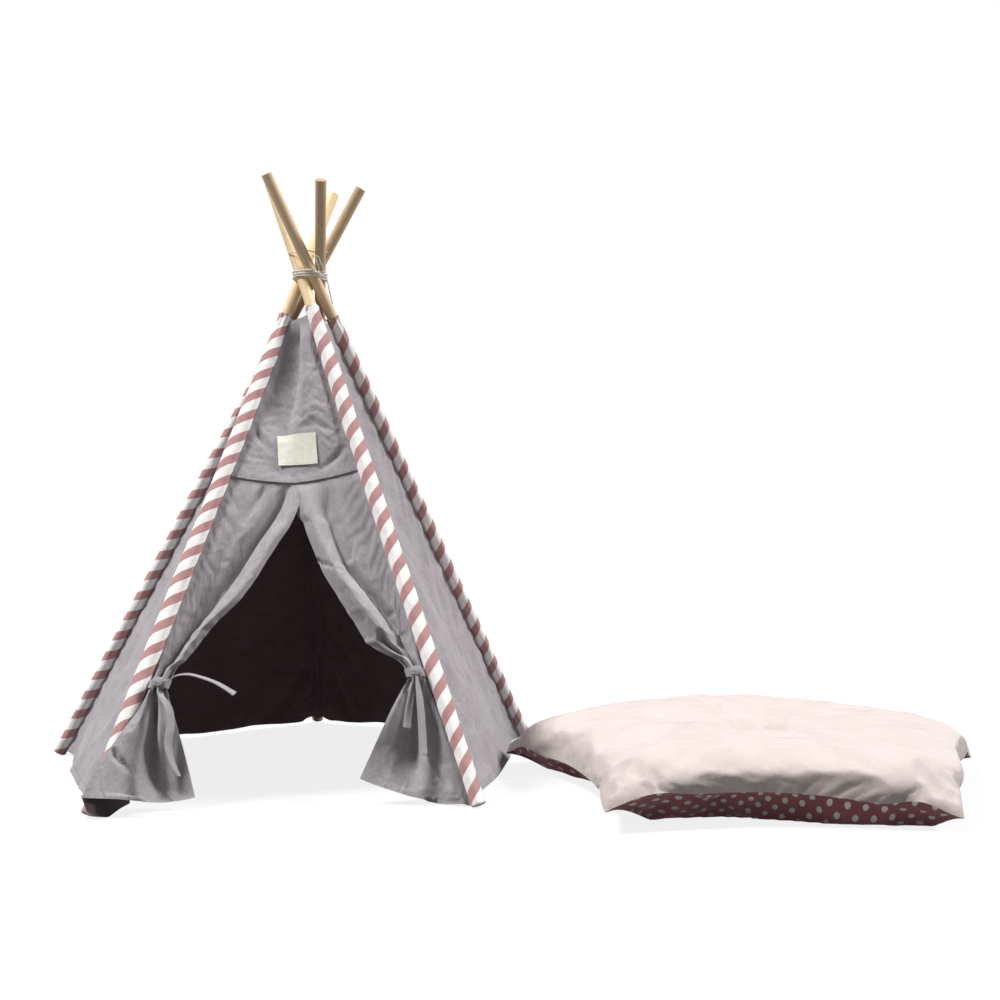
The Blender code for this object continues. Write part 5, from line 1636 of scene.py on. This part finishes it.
def cushion_top_height(azimuth, t, pleat):
    """Height of the stuffed top at share t of the seam radius, away from the sides' rounded edge."""
    side = math.sin(math.pi * part_of(azimuth))
    a = math.radians(azimuth)
    radius = t * cushion_rim(azimuth)
    seam = cushion_seam(azimuth)
    full = CUSHION_SEAM + CUSHION_FULL
    cornered = seam + (full - seam) * (1 - t ** 4.4) ** 0.62
    height = lerp(cornered, full - CUSHION_SHOULDER * (t / CUSHION_EDGE) ** 3, smooth(side / 0.6))
    height -= CUSHION_TUFT_DEPTH * 1.05 * math.exp(-(radius / CUSHION_TUFT_RADIUS) ** 2)
    tuft = math.exp(-(radius / CUSHION_REACH) ** 2)
    height -= 0.007 * tuft
    folds = noise.noise(Vector((math.cos(a) * 2.6, math.sin(a) * 2.6, 1.0 + t * 0.6)))
    drawn = math.cos(math.radians(CUSHION_PLEATS * azimuth)) * 0.8 + folds * 1.8
    height += pleat * drawn * (tuft * min(1.0, t * 7))
    x, y = radius * math.cos(a), radius * math.sin(a)
    soft = noise.noise(Vector((x * 9, y * 9, 4.0))) * 0.0045
    soft += noise.noise(Vector((x * 24, y * 24, 7.0))) * 0.0026
    # the corner beside the tent is slack and crumpled
    slack = bump(azimuth, 190, 34) * smooth((t - 0.45) / 0.25)
    creases = noise.noise(Vector((x * 34, y * 20, 9.0))) * 0.0045
    soft += slack * (creases + noise.noise(Vector((x * 60, y * 36, 2.0))) * 0.0008)
    return height + soft * min(1.0, (1 - t) * 8)


def cushion_side(azimuth, t):
    """Radius and height of the stuffed side, from the flat top round to the seam below its fullest line."""
    seam, rim = cushion_seam(azimuth), cushion_rim(azimuth)
    turn = math.radians(90 - CUSHION_ARC * (t - CUSHION_EDGE) / (1 - CUSHION_EDGE))
    under = math.radians(CUSHION_TURN_UNDER)
    rise = (CUSHION_SEAM + CUSHION_FULL - CUSHION_SHOULDER - seam) / (1 + math.sin(under))
    inner = rim * CUSHION_EDGE
    return (inner + (rim - inner) / math.cos(under) * math.cos(turn),
            seam + rise * (math.sin(turn) + math.sin(under)))


def cushion_seam(azimuth):
    """Height of the seam: near the floor at the corners, carried up by the stuffing between them."""
    rise = CUSHION_RISE[int((azimuth - 18.0) % 360.0 // 72.0)]
    lifted = 0.007 * bump(azimuth, 234, 16)
    return CUSHION_SEAM - 0.009 + lifted + rise * math.sin(math.pi * part_of(azimuth) ** 0.8) ** 0.8


def cushion_skin(rings, pleat):
    """Both layers sewn along the seam and let fill out: points, the flat net's UV, faces and the seam's first
    point; the underside's points follow the top's."""
    places, faces, rim = cushion_net(rings)
    count = len(places)
    top, low, flat = [], [], []
    for azimuth, t in places:
        a = math.radians(azimuth)
        radius = t * cushion_rim(azimuth)
        seam = cushion_seam(azimuth)
        side = math.sin(math.pi * part_of(azimuth))
        wide, height = radius, cushion_top_height(azimuth, t, pleat)
        if t > CUSHION_EDGE:
            boxed = smooth(side / 0.6)
            round_radius, round_height = cushion_side(azimuth, t)
            wide, height = lerp(radius, round_radius, boxed), lerp(height, round_height, boxed)
        top.append((wide * math.cos(a), wide * math.sin(a), height))
        tucked = 0.058 + 0.03 * bump(azimuth, 228, 26) - 0.022 * bump(azimuth, 290, 20)
        belly = seam * (1 - smooth((1 - t) * CUSHION_RADIUS / tucked))
        low.append((radius * math.cos(a), radius * math.sin(a), belly))
        # the cloth is cut 4 % larger than the straight outline
        cut = t * straight_rim(azimuth) * 1.04
        flat.append((cut * math.cos(a), cut * math.sin(a)))
    points = np.array(top + low[:rim])
    under = [tuple(count + p if p < rim else p for p in reversed(face)) for face in faces]
    share = np.array([t for _, t in places])
    held = np.zeros(len(points))
    held[rim:count] = 1.0
    held[:6] = 1.0
    held[count:][share[:rim] < 0.72] = 1.0
    job = (points, faces + under, held, 0.022)
    points = settle([job], frames=20, pressure=2.0, gravity=0.0, cap=0.014)[0]
    points[:, 2] = np.maximum(points[:, 2], 0.0)
    return points, np.array(flat), faces, under, rim, count


def build_cushion():
    looks, sizes = materials(), bpy.context.scene.bed_cushion
    points, flat, faces, under, rim, count = cushion_skin(sizes.rings, sizes.pleat)
    place = Matrix.Translation((*CUSHION_PLACE, 0)) @ Matrix.Rotation(math.radians(CUSHION_TURN), 4, "Z")
    verts = [place @ Vector(p) for p in points]
    seam = list(range(rim, count))
    lower = {count + k: k for k in range(rim)}
    lower.update({k: k for k in seam})
    for name, look, slot, nodes, skin, numbers in (
            ("cushion_top", "pile", "pale_pink_twill", ["cushion_cover_top", "cushion_filling"], faces,
             {k: k for k in range(count)}),
            ("cushion_underside", "dots", "dotted_plum_cotton", ["cushion_cover_bottom"], under, lower)):
        own = sorted(numbers, key=lambda k: numbers[k])
        piece = mesh_piece(name, [verts[k] for k in own], [tuple(numbers[k] for k in face) for face in skin],
                           [looks[look]], flat, sharp=180)
        stand_in(piece, "cushion", slot, *nodes)


# stage


def seen_directly(tree, **settings):
    """1 where a surface is seen straight, in a mirror or through glass, 0 for the light that it gives."""
    path = add(tree, "ShaderNodeLightPath").outputs
    mirrored = add(tree, "ShaderNodeMath", {0: path["Is Camera Ray"], 1: path["Is Glossy Ray"]},
                   operation="ADD")
    return add(tree, "ShaderNodeMath", {0: mirrored, 1: path["Is Transmission Ray"]}, operation="ADD",
               **settings)


def build_floor():
    """A pale floor that glows to the eye alone, so that it is plain and still takes a faint shadow."""
    half, z = 30.0, -0.0003
    mesh = bpy.data.meshes.new("floor")
    mesh.from_pydata([(-half, -half, z), (half, -half, z), (half, half, z), (-half, half, z)], [],
                     [(0, 1, 2, 3)])
    floor = bpy.data.objects.new("floor", mesh)
    bpy.context.scene.collection.objects.link(floor)
    material = bpy.data.materials.new("Pale_painted_floor")
    material.use_nodes = True
    tree = material.node_tree
    tree.nodes.clear()
    glow = add(tree, "ShaderNodeMath", {0: seen_directly(tree), 1: 0.84}, operation="MULTIPLY")
    lit = add(tree, "ShaderNodeBsdfDiffuse", {"Color": (0.16, 0.16, 0.16, 1)})
    white = add(tree, "ShaderNodeEmission", {"Color": (1, 1, 1, 1), "Strength": glow})
    both = add(tree, "ShaderNodeAddShader", {0: lit, 1: white})
    add(tree, "ShaderNodeOutputMaterial", {"Surface": both})
    mesh.materials.append(material)


def build_world():
    """Soft even light, with a white background behind the object."""
    world = bpy.data.worlds.new("studio")
    bpy.context.scene.world = world
    world.use_nodes = True
    tree = world.node_tree
    tree.nodes.clear()
    seen = seen_directly(tree, use_clamp=True)
    soft, white = [add(tree, "ShaderNodeBackground", {"Color": (1, 1, 1, 1), "Strength": strength})
                   for strength in (0.2, 1.0)]
    mixed = add(tree, "ShaderNodeMixShader", {0: seen, 1: soft, 2: white})
    add(tree, "ShaderNodeOutputWorld", {"Surface": mixed})


# a large softbox at either side, both above the tent, so that the front and the sides differ: azimuth and
# rise of the way to it, strength and spread
SOFTBOXES = {"softbox_left": (192, 54, 3.7, 12), "softbox_right": (359, 44, 3.2, 16)}
CAMERA_PLACE = (-0.2031, -1.6135, 0.3192)
CAMERA_TURN = -7.07
CAMERA_LENS = 48.53
CAMERA_SHIFT = 0.0025


def build_stage():
    scene = bpy.context.scene
    scene.view_settings.view_transform = "Standard"
    build_floor()
    build_world()
    for name, (azimuth, rise, energy, spread) in SOFTBOXES.items():
        lamp = bpy.data.lights.new(name, "SUN")
        lamp.energy = energy
        lamp.angle = math.radians(spread)
        box = bpy.data.objects.new(name, lamp)
        towards = around(azimuth, math.cos(math.radians(rise)), math.sin(math.radians(rise)))
        box.rotation_euler = towards.to_track_quat("Z", "Y").to_euler()
        scene.collection.objects.link(box)
    camera_data = bpy.data.cameras.new("camera")
    camera_data.lens = CAMERA_LENS
    camera_data.sensor_width = 36.0
    camera_data.shift_y = CAMERA_SHIFT
    camera = bpy.data.objects.new("camera", camera_data)
    camera.location = CAMERA_PLACE
    camera.rotation_euler = (math.radians(90), 0, math.radians(CAMERA_TURN))
    scene.collection.objects.link(camera)
    scene.camera = camera


# add-on


class BED_OT_stage(bpy.types.Operator):
    """Camera, floor and studio light"""
    bl_idname = "bed.stage"
    bl_label = "Stage"

    def execute(self, context):
        build_stage()
        return {"FINISHED"}


class BED_OT_lashing(bpy.types.Operator):
    """Cord lashing with its knot, bow and free end, and the cord through the poles' holes"""
    bl_idname = "bed.lashing"
    bl_label = "Lashing"

    def execute(self, context):
        build_lashing()
        return {"FINISHED"}


class BED_OT_ties(bpy.types.Operator):
    """Curtain ties: band, knot and hanging ends"""
    bl_idname = "bed.ties"
    bl_label = "Ties"

    def execute(self, context):
        build_ties()
        return {"FINISHED"}


class BED_OT_poles(bpy.types.Operator):
    """Pine finish for the model's poles"""
    bl_idname = "bed.poles"
    bl_label = "Poles"

    def execute(self, context):
        build_poles()
        return {"FINISHED"}


class BED_OT_sleeves(bpy.types.Operator):
    """Striped sleeves round the poles"""
    bl_idname = "bed.sleeves"
    bl_label = "Sleeves"

    def execute(self, context):
        build_sleeves()
        return {"FINISHED"}


class BED_OT_panels(bpy.types.Operator):
    """Side and back panels with their hems"""
    bl_idname = "bed.panels"
    bl_label = "Panels"

    def execute(self, context):
        build_panels()
        return {"FINISHED"}


class BED_OT_front(bpy.types.Operator):
    """Front upper panel and its label"""
    bl_idname = "bed.front"
    bl_label = "Front"

    def execute(self, context):
        build_front_upper()
        build_label()
        return {"FINISHED"}


class BED_OT_curtains(bpy.types.Operator):
    """The two tied-back curtains"""
    bl_idname = "bed.curtains"
    bl_label = "Curtains"

    def execute(self, context):
        build_curtains()
        return {"FINISHED"}


class BED_OT_cushion(bpy.types.Operator):
    """The loose five-cornered cushion"""
    bl_idname = "bed.cushion"
    bl_label = "Cushion"

    def execute(self, context):
        build_cushion()
        return {"FINISHED"}


OPERATORS = (BED_OT_stage, BED_OT_lashing, BED_OT_poles, BED_OT_sleeves, BED_OT_panels, BED_OT_front,
             BED_OT_curtains, BED_OT_ties, BED_OT_cushion)


class BED_PT_parts(bpy.types.Panel):
    """Lists the bed's pieces and the sizes and colours that they use"""
    bl_idname = "BED_PT_parts"
    bl_label = "Teepee bed"
    bl_space_type = "VIEW_3D"
    bl_region_type = "UI"
    bl_category = "Teepee bed"

    def draw(self, context):
        for operator in OPERATORS:
            self.layout.operator(operator.bl_idname)
        for group in (context.scene.bed_cloth, context.scene.bed_cushion, context.scene.bed_colours):
            box = self.layout.box()
            for name in group.__annotations__:
                box.prop(group, name)


CLASSES = (ClothLook, CushionLook, Colours, *OPERATORS, BED_PT_parts)
GROUPS = {"bed_cloth": ClothLook, "bed_cushion": CushionLook, "bed_colours": Colours}


def register():
    for cls in CLASSES:
        bpy.utils.register_class(cls)
    for name, group in GROUPS.items():
        setattr(bpy.types.Scene, name, PointerProperty(type=group))


def unregister():
    for name in GROUPS:
        delattr(bpy.types.Scene, name)
    for cls in reversed(CLASSES):
        bpy.utils.unregister_class(cls)


def main():
    register()
    for operator in OPERATORS:
        getattr(bpy.ops.bed, operator.bl_idname.split(".")[1])()


if __name__ == "__main__":
    main()
